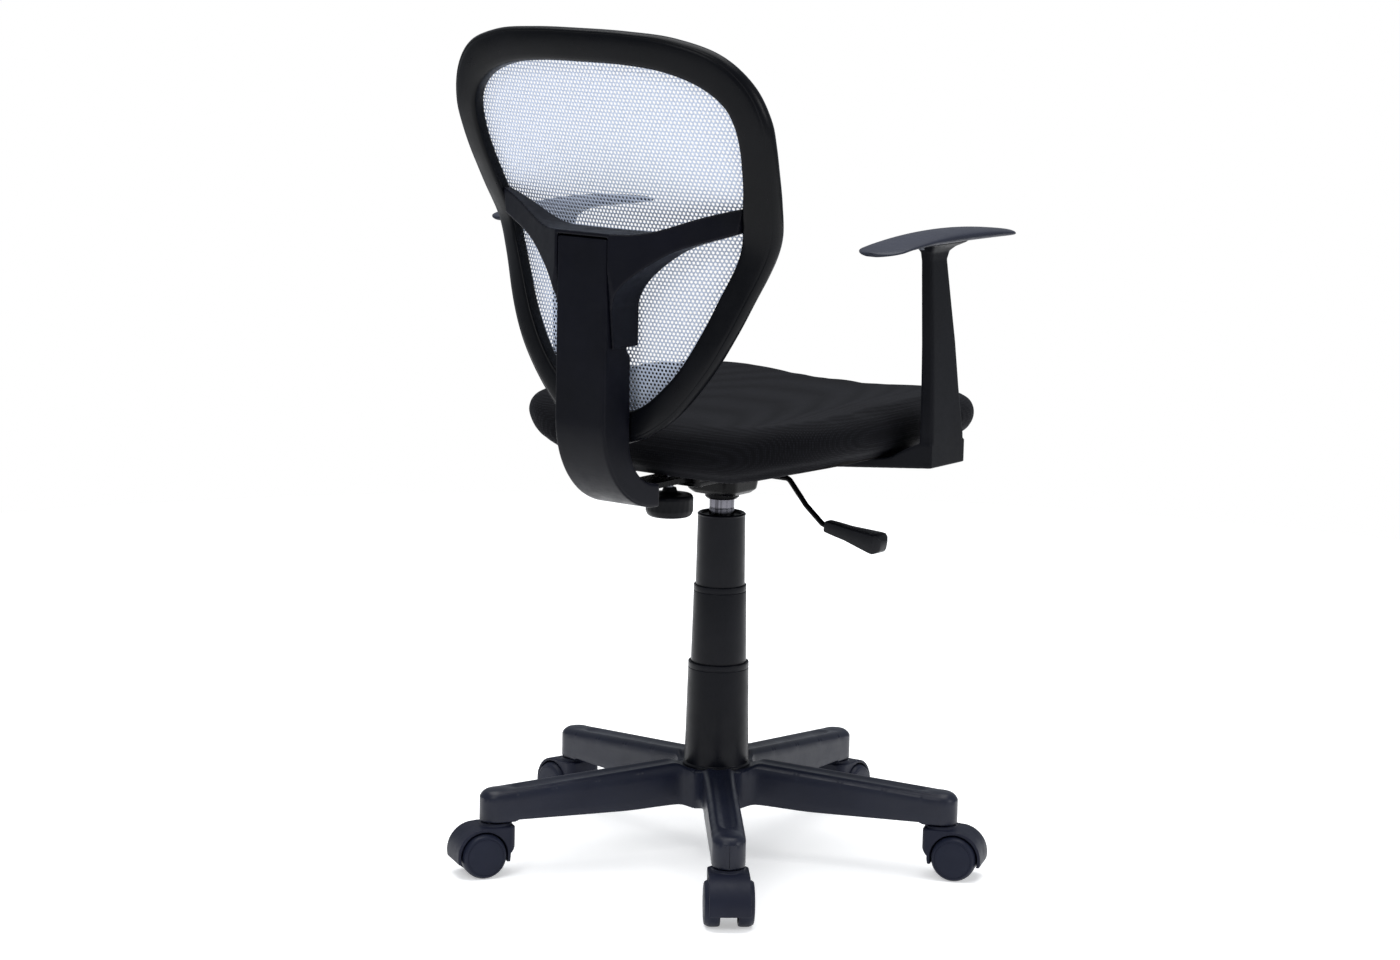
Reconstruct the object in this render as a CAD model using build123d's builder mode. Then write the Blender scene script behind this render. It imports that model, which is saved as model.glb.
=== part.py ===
from build123d import *
import os
from math import cos, radians, sin, sqrt

# Swivel office chair. Units are millimetres. +Z is up and the origin is on the floor, on the axis of the
# gas lift. The sitter faces -Y, so the sitter's right hand is on the -X side.

# Driving sizes
base_radius = 258          # column axis to caster stem
first_leg_angle = 56.9
leg_count = 5
caster_height = 60         # floor to underside of a leg tip
wheel_radius = 25
caster_trail = 19          # stem axis to wheel axis
deck_height = 447          # top face of the mechanism, where the seat is bolted down
seat_width = 430
seat_depth = 405
seat_centre_y = -55
arm_x = 250                # centre plane of each armrest post
spine_rear_y = 260
back_bottom = 491
back_top = 931
shaft_gap = 0.05           # radial clearance of a shaft in its bearing
free_gap = 0.4             # clearance between pieces that pass each other

os.makedirs("parts", exist_ok=True)


def save(piece, name):
    piece.label = name
    export_step(piece, f"parts/{name}.step")


# ---------------------------------------------------------------- five-star base
leg_angles = [first_leg_angle + k * 360 / leg_count for k in range(leg_count)]
leg_width_hub = 33
leg_width_tip = 35
leg_top_hub = 116
leg_top_tip = 97
leg_bottom_hub = 65
leg_slope = (leg_top_tip - leg_top_hub) / base_radius
hub_radius = 41
hub_top = 104
hub_bottom = 62
tip_radius = 18
base_wall = 3.5
tube_radius = 24
stem_radius = 5.5
stem_top = 84
leg_far = base_radius + tip_radius + 5
pocket_starts = (48, 98, 148, 198)
pocket_length = 45

with BuildPart() as star_base:
    with BuildSketch():
        Circle(hub_radius)
        for angle in leg_angles:
            with Locations(Rotation(0, 0, angle)):
                Polygon(
                    (0, -leg_width_hub / 2),
                    (base_radius, -leg_width_tip / 2),
                    (base_radius, leg_width_tip / 2),
                    (0, leg_width_hub / 2),
                    align=None,
                )
        with PolarLocations(base_radius, leg_count, start_angle=first_leg_angle):
            Circle(tip_radius)
    extrude(amount=leg_top_hub + 10)
    # The top slopes down to the tips, and only the tips reach down to the casters.
    with BuildSketch(Plane.XZ):
        Polygon(
            (0, hub_bottom),
            (hub_radius, leg_bottom_hub),
            (base_radius - tip_radius, caster_height + 2),
            (base_radius - tip_radius, caster_height),
            (leg_far, caster_height),
            (leg_far, leg_top_hub + leg_slope * leg_far),
            (hub_radius + 6, leg_top_hub + leg_slope * hub_radius),
            (hub_radius - 3, hub_top),
            (0, hub_top),
            align=None,
        )
    revolve(axis=Axis.Z, mode=Mode.INTERSECT)
    # The underside is hollow, with a rib between each pair of pockets.
    with BuildSketch(*[Plane(origin=(0, 0, 0), x_dir=(cos(radians(a)), sin(radians(a)), 0),
                             z_dir=(sin(radians(a)), -cos(radians(a)), 0)) for a in leg_angles]):
        for start in pocket_starts:
            end = start + pocket_length
            Polygon(
                (start, 0),
                (end, 0),
                (end, leg_top_hub + leg_slope * end - base_wall),
                (start, leg_top_hub + leg_slope * start - base_wall),
                align=None,
            )
    extrude(amount=leg_width_hub / 2 - base_wall, both=True, mode=Mode.SUBTRACT)
    # Socket for the gas lift's tube, and one for each caster stem
    with BuildSketch():
        Circle(tube_radius)
    extrude(amount=leg_top_hub, mode=Mode.SUBTRACT)
    with BuildSketch():
        with PolarLocations(base_radius, leg_count, start_angle=first_leg_angle):
            Circle(stem_radius + shaft_gap)
    extrude(amount=stem_top + 1, mode=Mode.SUBTRACT)
save(star_base.part, "star_base")

# ---------------------------------------------------------------- gas lift
tube_bottom = 58
tube_top = 262
tube_wall = 1.6
rod_radius = 5
cylinder_radius = 14
cylinder_bottom = 190
cylinder_top = 430
cylinder_wall = 2.5
gland_height = 10
piston_height = 10
pin_radius = 3
pin_proud = 3.6
pin_length = 12

with BuildPart() as stand_tube:
    with BuildSketch(Plane.XY.offset(tube_bottom)):
        Circle(tube_radius)
    extrude(amount=tube_top - tube_bottom)
    with BuildSketch(Plane.XY.offset(tube_bottom + 3)):
        Circle(tube_radius - tube_wall)
    extrude(amount=tube_top - tube_bottom, mode=Mode.SUBTRACT)
    with BuildSketch(Plane.XY.offset(tube_bottom)):
        Circle(rod_radius + 1)
    extrude(amount=3, mode=Mode.SUBTRACT)
save(stand_tube.part, "stand_tube")

with BuildPart() as thrust_bearing:
    with BuildSketch(Plane.XY.offset(tube_bottom + 3)):
        Circle(13)
        Circle(rod_radius + shaft_gap, mode=Mode.SUBTRACT)
    extrude(amount=4)
    fillet(thrust_bearing.edges().filter_by(GeomType.CIRCLE).sort_by(SortBy.RADIUS)[-2:], 0.8)
save(thrust_bearing.part, "thrust_bearing")

with BuildPart() as guide_bush:
    with BuildSketch(Plane.XY.offset(tube_top - 60)):
        Circle(tube_radius - tube_wall)
    extrude(amount=60)
    with BuildSketch(Plane.XY.offset(tube_top)):
        Circle(tube_radius)
    extrude(amount=3)
    with BuildSketch(Plane.XY.offset(tube_top - 60)):
        Circle(cylinder_radius + shaft_gap)
    extrude(amount=63, mode=Mode.SUBTRACT)
save(guide_bush.part, "guide_bush")

clip_groove = 54
with BuildPart() as piston_rod:
    with BuildSketch(Plane.XY.offset(tube_bottom - 8)):
        Circle(rod_radius)
    extrude(amount=cylinder_bottom + gland_height + piston_height + 3 - (tube_bottom - 8))
    with BuildSketch(Plane.XY.offset(cylinder_bottom + gland_height + 3)):
        Circle(cylinder_radius - cylinder_wall - free_gap)
    extrude(amount=piston_height)
    with BuildSketch(Plane.XY.offset(clip_groove)):
        Circle(rod_radius)
        Circle(rod_radius - 1, mode=Mode.SUBTRACT)
    extrude(amount=1.5, mode=Mode.SUBTRACT)
    chamfer(piston_rod.edges().sort_by(Axis.Z)[0], 1)
save(piston_rod.part, "piston_rod")

with BuildPart() as retaining_clip:
    with BuildSketch(Plane.XY.offset(clip_groove)):
        Circle(rod_radius + 4)
        Circle(rod_radius - 1, mode=Mode.SUBTRACT)
        with Locations((rod_radius, 0)):
            Rectangle(12, 6, mode=Mode.SUBTRACT)
    extrude(amount=1.5)
save(retaining_clip.part, "retaining_clip")

with BuildPart() as gas_cylinder:
    with BuildSketch(Plane.XY.offset(cylinder_bottom)):
        Circle(cylinder_radius)
    extrude(amount=cylinder_top - cylinder_bottom)
    chamfer(gas_cylinder.edges().sort_by(Axis.Z)[-1], 1)
    with BuildSketch(Plane.XY.offset(cylinder_bottom + gland_height)):
        Circle(cylinder_radius - cylinder_wall)
    extrude(amount=cylinder_top - cylinder_bottom - gland_height - 12, mode=Mode.SUBTRACT)
    with BuildSketch(Plane.XY.offset(cylinder_bottom)):
        Circle(rod_radius + shaft_gap)
    extrude(amount=gland_height, mode=Mode.SUBTRACT)
    with BuildSketch(Plane.XY.offset(cylinder_top - pin_length)):
        Circle(pin_radius + shaft_gap)
    extrude(amount=pin_length, mode=Mode.SUBTRACT)
save(gas_cylinder.part, "gas_cylinder")

with BuildPart() as release_pin:
    with BuildSketch(Plane.XY.offset(cylinder_top + pin_proud - pin_length)):
        Circle(pin_radius)
    extrude(amount=pin_length)
    fillet(release_pin.edges().sort_by(Axis.Z)[-1], 1)
save(release_pin.part, "release_pin")

# ---------------------------------------------------------------- telescopic column cover
lower_top = 223
middle_top = 310
upper_top = 391
middle_bottom = 195
upper_bottom = 281


def sleeve_profile(bottom, top, bottom_radius, top_radius, wall, lip):
    """Half section of a tapered sleeve whose mouth is narrowed by a lip."""
    return [
        (bottom_radius - wall, bottom),
        (bottom_radius, bottom),
        (top_radius, top - 1),
        (top_radius - 1, top),
        (top_radius - wall - lip, top),
        (top_radius - wall - lip, top - 2.5),
        (top_radius - wall, top - 2.5),
    ]


with BuildPart() as cover_lower:
    with BuildSketch(Plane.XZ):
        Polygon(*sleeve_profile(hub_top, lower_top, 36, 33.75, 1.8, 0.4), align=None)
        with Locations((35.8, hub_top + 2)):
            Rectangle(4, 4)
    revolve(axis=Axis.Z)
save(cover_lower.part, "cover_lower")

with BuildPart() as cover_middle:
    with BuildSketch(Plane.XZ):
        Polygon(*sleeve_profile(middle_bottom, middle_top, 31.5, 29.25, 1.2, 0.2), align=None)
    revolve(axis=Axis.Z)
save(cover_middle.part, "cover_middle")

with BuildPart() as cover_upper:
    with BuildSketch(Plane.XZ):
        Polygon(*sleeve_profile(upper_bottom, upper_top, 27.8, 26.25, 1.5, 0), align=None)
        Polygon(
            (cylinder_radius, upper_top - 5),
            (25, upper_top - 5),
            (25, upper_top - 3),
            (cylinder_radius, upper_top - 3),
            align=None,
        )
    revolve(axis=Axis.Z)
save(cover_upper.part, "cover_upper")

# ---------------------------------------------------------------- casters
hood_width = 44
web_width = 17
wheel_width = 17.5
wheel_inset = 9.5          # caster's middle plane to a wheel's inner face
wheel_clearance = 1.6
hood_wall = 3.6
axle_radius = 4
neck_radius = 17.5
neck_bottom = 44
neck_top = caster_height - 1.5
pocket_radius = wheel_radius + wheel_clearance
fender_radius = pocket_radius + hood_wall
hood_foot = 27             # lowest edge of the hood on the stem's side
web_bottom = 17


def caster_plane(angle):
    """Upright plane of one caster: x runs outward from the stem, y is up."""
    stem = (base_radius * cos(radians(angle)), base_radius * sin(radians(angle)), 0)
    outward = (cos(radians(angle)), sin(radians(angle)), 0)
    return Plane(origin=stem, x_dir=outward, z_dir=(sin(radians(angle)), -cos(radians(angle)), 0))


for number, angle in enumerate(leg_angles, start=1):
    upright = caster_plane(angle)
    stem_x, stem_y = base_radius * cos(radians(angle)), base_radius * sin(radians(angle))

    with BuildPart() as hood:
        with BuildSketch(upright):
            with Locations((caster_trail, wheel_radius)):
                Circle(fender_radius)
            Polygon(
                (-neck_radius, hood_foot + 6),
                (-neck_radius + 5, hood_foot),
                (caster_trail, hood_foot),
                (neck_radius, neck_top - 3),
                (-neck_radius, neck_top - 3),
                align=None,
            )
            with Locations((caster_trail, web_bottom - fender_radius)):
                Rectangle(2 * fender_radius + 2, 2 * fender_radius, mode=Mode.SUBTRACT)
        extrude(amount=hood_width / 2, both=True)
        fillet(hood.edges().filter_by(GeomType.LINE).filter_by(Axis.Z), 9)
        with BuildSketch(Plane(origin=(stem_x, stem_y, neck_bottom))):
            Circle(neck_radius)
        extrude(amount=neck_top - neck_bottom)
        # Room for a wheel on each side of the middle web, and the bores for stem and axle
        for side in (-1, 1):
            with BuildSketch(upright.offset(side * web_width / 2)):
                with Locations((caster_trail, wheel_radius)):
                    Circle(pocket_radius)
            extrude(amount=side * hood_width, mode=Mode.SUBTRACT)
        with BuildSketch(upright):
            with Locations((caster_trail, wheel_radius)):
                Circle(axle_radius)
        extrude(amount=hood_width, both=True, mode=Mode.SUBTRACT)
        with BuildSketch(Plane(origin=(stem_x, stem_y, neck_bottom - 6))):
            Circle(stem_radius)
        extrude(amount=neck_top, mode=Mode.SUBTRACT)
    save(hood.part, f"caster_hood_{number}")

    with BuildPart() as stem:
        with BuildSketch(Plane(origin=(stem_x, stem_y, neck_bottom - 6))):
            Circle(stem_radius)
        extrude(amount=stem_top - neck_bottom + 6)
        chamfer(stem.edges().sort_by(Axis.Z)[-1], 1)
        with BuildSketch(Plane(origin=(stem_x, stem_y, stem_top - 6))):
            Circle(stem_radius)
            Circle(stem_radius - 1, mode=Mode.SUBTRACT)
        extrude(amount=2, mode=Mode.SUBTRACT)
    save(stem.part, f"caster_stem_{number}")

    with BuildPart() as axle:
        with BuildSketch(upright):
            with Locations((caster_trail, wheel_radius)):
                Circle(axle_radius)
        extrude(amount=wheel_inset + wheel_width - 3, both=True)
        chamfer(axle.edges().filter_by(GeomType.CIRCLE), 0.6)
    save(axle.part, f"caster_axle_{number}")

    for side, hand in ((-1, "left"), (1, "right")):
        with BuildPart() as wheel:
            with BuildSketch(upright.offset(side * wheel_inset)):
                with Locations((caster_trail, wheel_radius)):
                    Circle(wheel_radius)
            extrude(amount=side * wheel_width)
            rims = wheel.edges().filter_by(GeomType.CIRCLE)
            outer_rim = rims.sort_by(lambda edge: side * upright.to_local_coords(edge.center()).Z)[-1]
            inner_rim = rims.sort_by(lambda edge: side * upright.to_local_coords(edge.center()).Z)[0]
            fillet(outer_rim, 5)
            fillet(inner_rim, 1.5)
            with BuildSketch(upright.offset(side * wheel_inset)):
                with Locations((caster_trail, wheel_radius)):
                    Circle(axle_radius + shaft_gap)
            extrude(amount=side * (wheel_width - 2.5), mode=Mode.SUBTRACT)
            # Hollow inner face with a hub left around the axle
            with BuildSketch(upright.offset(side * wheel_inset)):
                with Locations((caster_trail, wheel_radius)):
                    Circle(wheel_radius - 4)
                    Circle(axle_radius + 3, mode=Mode.SUBTRACT)
            extrude(amount=side * (wheel_width - 7), mode=Mode.SUBTRACT)
        save(wheel.part, f"caster_wheel_{hand}_{number}")

# ---------------------------------------------------------------- tilt-free seat mechanism
pan_plate = 2.5
pan_half_width = 78
pan_front = -95
pan_rear = 90
pan_chamfer_y = 49
pan_tongue = 28
tongue_end = 126
pan_depth = 15
socket_radius = 19
socket_bottom = 407
cone_radius = 24
cone_bottom = 412
bar_width = 38
bar_thickness = 6
bar_play = 0.3
bar_top = deck_height - pan_plate - bar_play
knob_y = 98
lever_y = -10
lever_pivot = 40           # column axis to the lever's pivot
lever_z = 437
rod_size = 3
seat_bolt_x = 58
seat_bolt_y = (-75, 35)
bolt_radius = 3

pan_outline = [
    (-pan_half_width, pan_front),
    (pan_half_width, pan_front),
    (pan_half_width, pan_chamfer_y),
    (pan_tongue, pan_rear),
    (-pan_tongue, pan_rear),
    (-pan_half_width, pan_chamfer_y),
]
cone_outline = [
    (-cone_radius, -cone_radius),
    (cone_radius, -cone_radius),
    (cone_radius, cone_radius - 8),
    (cone_radius - 8, cone_radius),
    (8 - cone_radius, cone_radius),
    (-cone_radius, cone_radius - 8),
]


def shrunk(points, wall):
    """The outline moved inward by about one wall thickness."""
    return [(x - wall * (1 if x > 0 else -1), y - wall * (1 if y > 0 else -1)) for x, y in points]


floor_height = deck_height - pan_depth
with BuildPart() as mechanism_pan:
    with BuildSketch(Plane.XY.offset(floor_height)):
        Polygon(*pan_outline, align=None)
    extrude(amount=pan_depth)
    fillet(mechanism_pan.edges().filter_by(Axis.Z), 6)
    with BuildSketch(Plane.XY.offset(floor_height)):
        Polygon(*pan_outline, align=None)
    with BuildSketch(Plane.XY.offset(cone_bottom)):
        Polygon(*cone_outline, align=None)
    loft(ruled=True)
    with BuildSketch(Plane.XY.offset(floor_height)):
        Polygon(*shrunk(pan_outline, pan_plate), align=None)
    extrude(amount=pan_depth - pan_plate, mode=Mode.SUBTRACT)
    with BuildSketch(Plane.XY.offset(floor_height)):
        Polygon(*shrunk(pan_outline, pan_plate), align=None)
    with BuildSketch(Plane.XY.offset(cone_bottom + 1)):
        Polygon(*shrunk(cone_outline, pan_plate), align=None)
    loft(ruled=True, mode=Mode.SUBTRACT)
    # Rear tongue: the bridge that the clamp screw threads into and the strap that the knob presses on
    tongue_length = tongue_end - pan_rear + 6
    for level in (deck_height - pan_plate, floor_height):
        with BuildSketch(Plane.XY.offset(level)):
            with Locations((0, tongue_end)):
                Rectangle(2 * pan_tongue, tongue_length, align=(Align.CENTER, Align.MAX))
        extrude(amount=pan_plate)
    # Openings: taper socket, back bar, lever, clamp screw and seat bolts
    with BuildSketch(Plane.XY.offset(socket_bottom)):
        Circle(socket_radius)
    extrude(amount=deck_height - pan_plate - socket_bottom, mode=Mode.SUBTRACT)
    with Locations((0, pan_rear, bar_top - bar_thickness / 2)):
        Box(bar_width + 2, 20, bar_thickness + 2 * bar_play, mode=Mode.SUBTRACT)
    with Locations((-pan_half_width, lever_y, lever_z + 1)):
        Box(12, 10, 13, mode=Mode.SUBTRACT)
    with BuildSketch(Plane.XY.offset(cone_bottom)):
        with Locations((0, knob_y)):
            Circle(4 + shaft_gap)
        with Locations([(x, y) for x in (-seat_bolt_x, seat_bolt_x) for y in seat_bolt_y]):
            Circle(bolt_radius)
    extrude(amount=deck_height, mode=Mode.SUBTRACT)
    # Lugs that carry the lever's pivot pin
    with BuildSketch(Plane.XY.offset(lever_z - 6)):
        for side in (-1, 1):
            with Locations((-lever_pivot, lever_y + side * 7)):
                Rectangle(14, 3)
    extrude(amount=deck_height - pan_plate - lever_z + 6)
    with BuildSketch(Plane.XZ.offset(-lever_y)):
        with Locations((-lever_pivot, lever_z)):
            Circle(2)
    extrude(amount=9.5, both=True, mode=Mode.SUBTRACT)
save(mechanism_pan.part, "mechanism_pan")

with BuildPart() as taper_socket:
    with BuildSketch(Plane.XY.offset(socket_bottom)):
        Circle(socket_radius)
        Circle(cylinder_radius, mode=Mode.SUBTRACT)
    extrude(amount=cylinder_top - 6 - socket_bottom)
    chamfer(taper_socket.edges().group_by(Axis.Z)[0].sort_by(SortBy.RADIUS)[-1], 2)
save(taper_socket.part, "taper_socket")

with BuildPart() as lever_pin:
    with BuildSketch(Plane.XZ.offset(-lever_y)):
        with Locations((-lever_pivot, lever_z)):
            Circle(2)
    extrude(amount=9.5, both=True)
save(lever_pin.part, "lever_pin")

# ---------------------------------------------------------------- height lever
grip_start = Vector(-134, lever_y, 391)
grip_end = Vector(-217, lever_y, 377)
grip_axis = (grip_end - grip_start).normalized()
rod_bend = grip_start - grip_axis * 6
rod_end = grip_start + grip_axis * 45

with BuildPart() as lever_rod:
    with BuildLine():
        FilletPolyline(
            (4, lever_y, lever_z),
            (-82, lever_y, lever_z),
            (-106, lever_y, 410),
            rod_bend,
            rod_end,
            radius=9,
        )
    with BuildSketch(Plane(origin=(4, lever_y, lever_z), z_dir=(-1, 0, 0))):
        Circle(rod_size)
    sweep()
    with BuildSketch(Plane.XZ.offset(-lever_y)):
        with Locations((-lever_pivot, lever_z)):
            Circle(5.5)
    extrude(amount=5, both=True)
    with BuildSketch(Plane.XZ.offset(-lever_y)):
        with Locations((-lever_pivot, lever_z)):
            Circle(2 + shaft_gap)
    extrude(amount=6, both=True, mode=Mode.SUBTRACT)
save(lever_rod.part, "lever_rod")

# Each section of the grip: distance along it, width, thickness and corner radius
grip_sections = [(0, 12, 11, 4), (8, 15, 13, 4), (40, 22, 17, 5), (72, 25, 18, 5), (84, 18, 11, 4)]
with BuildPart() as lever_grip:
    for distance, width, thickness, corner in grip_sections:
        with BuildSketch(Plane(origin=grip_start + grip_axis * distance, x_dir=(0, 1, 0), z_dir=grip_axis)):
            RectangleRounded(width, thickness, corner)
    loft()
    with BuildSketch(Plane(origin=grip_start, z_dir=grip_axis)):
        Circle(rod_size)
    extrude(amount=45, mode=Mode.SUBTRACT)
save(lever_grip.part, "lever_grip")

# ---------------------------------------------------------------- clamp for the back's depth
knob_radius = 26
knob_bottom = 400
knob_top = 424
screw_radius = 4

with BuildPart() as clamp_knob:
    with BuildSketch(Plane(origin=(0, knob_y, knob_bottom))):
        Circle(knob_radius)
    extrude(amount=knob_top - knob_bottom)
    fillet(clamp_knob.edges().group_by(Axis.Z)[0], 6)
    fillet(clamp_knob.edges().group_by(Axis.Z)[-1], 1.5)
    with BuildSketch(Plane(origin=(0, knob_y, knob_top))):
        Circle(7)
    extrude(amount=floor_height - free_gap - knob_top)
    with BuildSketch(Plane(origin=(0, knob_y, knob_bottom + 8))):
        Circle(screw_radius)
    extrude(amount=deck_height, mode=Mode.SUBTRACT)
save(clamp_knob.part, "clamp_knob")

with BuildPart() as clamp_screw:
    with BuildSketch(Plane(origin=(0, knob_y, knob_bottom + 8))):
        Circle(screw_radius)
    extrude(amount=deck_height - 0.5 - knob_bottom - 8)
    chamfer(clamp_screw.edges().sort_by(Axis.Z)[-1], 0.8)
save(clamp_screw.part, "clamp_screw")

# ---------------------------------------------------------------- seat
pad_thickness = 12
board_thickness = 12
board_bottom = deck_height + pad_thickness
board_flat = 75            # half-width of the board's flat middle
board_edge = 190           # half-width of the board
board_rise = 12            # how far the board's edges are turned up
board_radius = ((board_edge - board_flat) ** 2 + board_rise ** 2) / (2 * board_rise)
board_depth = 360
board_corner = 95
seat_top = 513
seat_corner = 110
nut_flange = 1.2
nut_flange_radius = 9
nut_barrel_radius = 4.2
bolt_head = 5
arm_bolt_x = (128, 168)
arm_bolt_y = -54
arm_bolt_head = 4
strap_web = 5              # metal left between an arm bolt's head and the board


def dish(x):
    """Height of the board's underside above its flat middle."""
    return board_radius - sqrt(board_radius ** 2 - max(0, abs(x) - board_flat) ** 2)


def dish_curve(side, level, edge):
    """Three points on the arc of one dished flank, from the flat middle to an edge, at a given level."""
    return [(side * x, level + dish(x)) for x in (board_flat, (board_flat + edge) / 2, edge)]


with BuildPart() as mount_pad:
    with BuildSketch(Plane.XY.offset(deck_height)):
        Polygon((-85, -105), (85, -105), (85, 58), (38, 112), (-38, 112), (-85, 58), align=None)
    extrude(amount=pad_thickness)
    fillet(mount_pad.edges().filter_by(Axis.Z), 10)
    with BuildSketch(Plane.XY.offset(deck_height)):
        with Locations([(x, y) for x in (-seat_bolt_x, seat_bolt_x) for y in seat_bolt_y]):
            Circle(bolt_radius)
    extrude(amount=pad_thickness, mode=Mode.SUBTRACT)
    with BuildSketch(Plane.XY.offset(deck_height)):
        with Locations((0, knob_y)):
            Circle(6)
    extrude(amount=4, mode=Mode.SUBTRACT)
save(mount_pad.part, "mount_pad")

nut_places = [(x, y, board_bottom) for x in (-seat_bolt_x, seat_bolt_x) for y in seat_bolt_y]
nut_places += [(side * x, arm_bolt_y, board_bottom + dish(x)) for side in (-1, 1) for x in arm_bolt_x]

board_top = board_bottom + board_thickness
with BuildPart() as seat_board:
    with BuildSketch(Plane.XZ.offset(-seat_centre_y)):
        with BuildLine():
            Line((-board_flat, board_bottom), (board_flat, board_bottom))
            Line((-board_flat, board_top), (board_flat, board_top))
            for side in (-1, 1):
                low_arc = ThreePointArc(*dish_curve(side, board_bottom, board_edge + 10))
                high_arc = ThreePointArc(*dish_curve(side, board_top, board_edge + 10))
                Line(low_arc @ 1, high_arc @ 1)
        make_face()
    extrude(amount=board_depth / 2 + 10, both=True)
    with BuildSketch(Plane.XY.offset(deck_height)):
        with Locations((0, seat_centre_y)):
            RectangleRounded(2 * board_edge, board_depth, board_corner)
    extrude(amount=60, mode=Mode.INTERSECT)
    for x, y, low in nut_places:
        with BuildSketch(Plane(origin=(x, y, low - 1))):
            Circle(nut_barrel_radius)
        extrude(amount=board_thickness + 3, mode=Mode.SUBTRACT)
        with BuildSketch(Plane(origin=(x, y, low + board_thickness - nut_flange))):
            Circle(nut_flange_radius)
        extrude(amount=10, mode=Mode.SUBTRACT)
save(seat_board.part, "seat_board")

with BuildPart() as t_nuts:
    for x, y, low in nut_places:
        with BuildSketch(Plane(origin=(x, y, low + 2))):
            Circle(nut_barrel_radius)
        extrude(amount=board_thickness - nut_flange - 2)
        with BuildSketch(Plane(origin=(x, y, low + board_thickness - nut_flange))):
            Circle(nut_flange_radius)
        extrude(amount=nut_flange)
        with BuildSketch(Plane(origin=(x, y, low))):
            Circle(bolt_radius)
        extrude(amount=board_thickness + 1, mode=Mode.SUBTRACT)
save(t_nuts.part, "t_nuts")

with BuildPart() as seat_bolts:
    for x, y in [(x, y) for x in (-seat_bolt_x, seat_bolt_x) for y in seat_bolt_y]:
        with BuildSketch(Plane(origin=(x, y, deck_height - pan_plate - bolt_head))):
            RegularPolygon(5.5, 6)
        extrude(amount=bolt_head)
        with BuildSketch(Plane(origin=(x, y, deck_height - pan_plate))):
            Circle(bolt_radius)
        extrude(amount=pan_plate + pad_thickness + board_thickness - 2)
    for x in (-arm_bolt_x[1], -arm_bolt_x[0], *arm_bolt_x):
        with BuildSketch(Plane(origin=(x, arm_bolt_y, board_bottom + dish(x) - strap_web - arm_bolt_head))):
            RegularPolygon(5.5, 6)
        extrude(amount=arm_bolt_head)
        with BuildSketch(Plane(origin=(x, arm_bolt_y, board_bottom + dish(x) - strap_web))):
            Circle(bolt_radius)
        extrude(amount=strap_web + board_thickness - 2)
save(seat_bolts.part, "seat_bolts")

nose_height = 490
with BuildPart() as seat_cushion:
    with BuildSketch(Plane.XZ.offset(-seat_centre_y)):
        with BuildLine():
            Line((-board_flat, board_top), (board_flat, board_top))
            ThreePointArc((-board_edge - 6, seat_top), (0, seat_top - 4), (board_edge + 6, seat_top))
            for side in (-1, 1):
                under = ThreePointArc(*dish_curve(side, board_top, board_edge))
                tuck = (side * board_edge, board_top)
                nose = (side * seat_width / 2, nose_height)
                Line(under @ 1, tuck)
                rim = (side * (board_edge + 6), seat_top)
                ThreePointArc(tuck, (side * (board_edge + 15.5), nose_height - 11.5), nose)
                ThreePointArc(nose, (side * (board_edge + 19.5), nose_height + 15), rim)
        make_face()
    extrude(amount=seat_depth / 2 + 10, both=True)
    with BuildSketch(Plane.XY.offset(deck_height)):
        with Locations((0, seat_centre_y)):
            RectangleRounded(seat_width + 1, seat_depth, seat_corner)
    extrude(amount=100, mode=Mode.INTERSECT)
    for x, y, low in nut_places:
        with BuildSketch(Plane(origin=(x, y, low))):
            Circle(nut_flange_radius)
        extrude(amount=board_thickness, mode=Mode.SUBTRACT)
save(seat_cushion.part, "seat_cushion")

# ---------------------------------------------------------------- armrests
arm_thick_foot = 17
strap_end = 108            # inner end of the strap under the seat
strap_rear = -20
strap_front = -86
strap_bottom = 452
foot_bottom = 467
foot_top = 500
pad_underside = 708
pad_front = -176
pad_rear = 90
pad_radius = 850
pad_crest = (-62, 720)
pad_x = 246
pad_end_radii = (25, 27)
pad_edge = 5               # thickness of a pad's ends
pad_screw_y = (-58, -2)
pad_screw_radius = 1.5
pad_screw_head = 3

# Sections of the post from foot to pad: height, middle in Y, length in Y, thickness in X
post_sections = [(foot_top, -52, 60, arm_thick_foot), (600, -41, 46, 15.5), (690, -27, 32, 14)]
flare_sections = [(690, -27, 32, 14), (702, -28, 46, 20), (pad_underside, -30, 80, 34)]


def crest(y):
    """Height of an arm pad's top surface."""
    return pad_crest[1] - pad_radius + sqrt(pad_radius ** 2 - (y - pad_crest[0]) ** 2)


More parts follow.
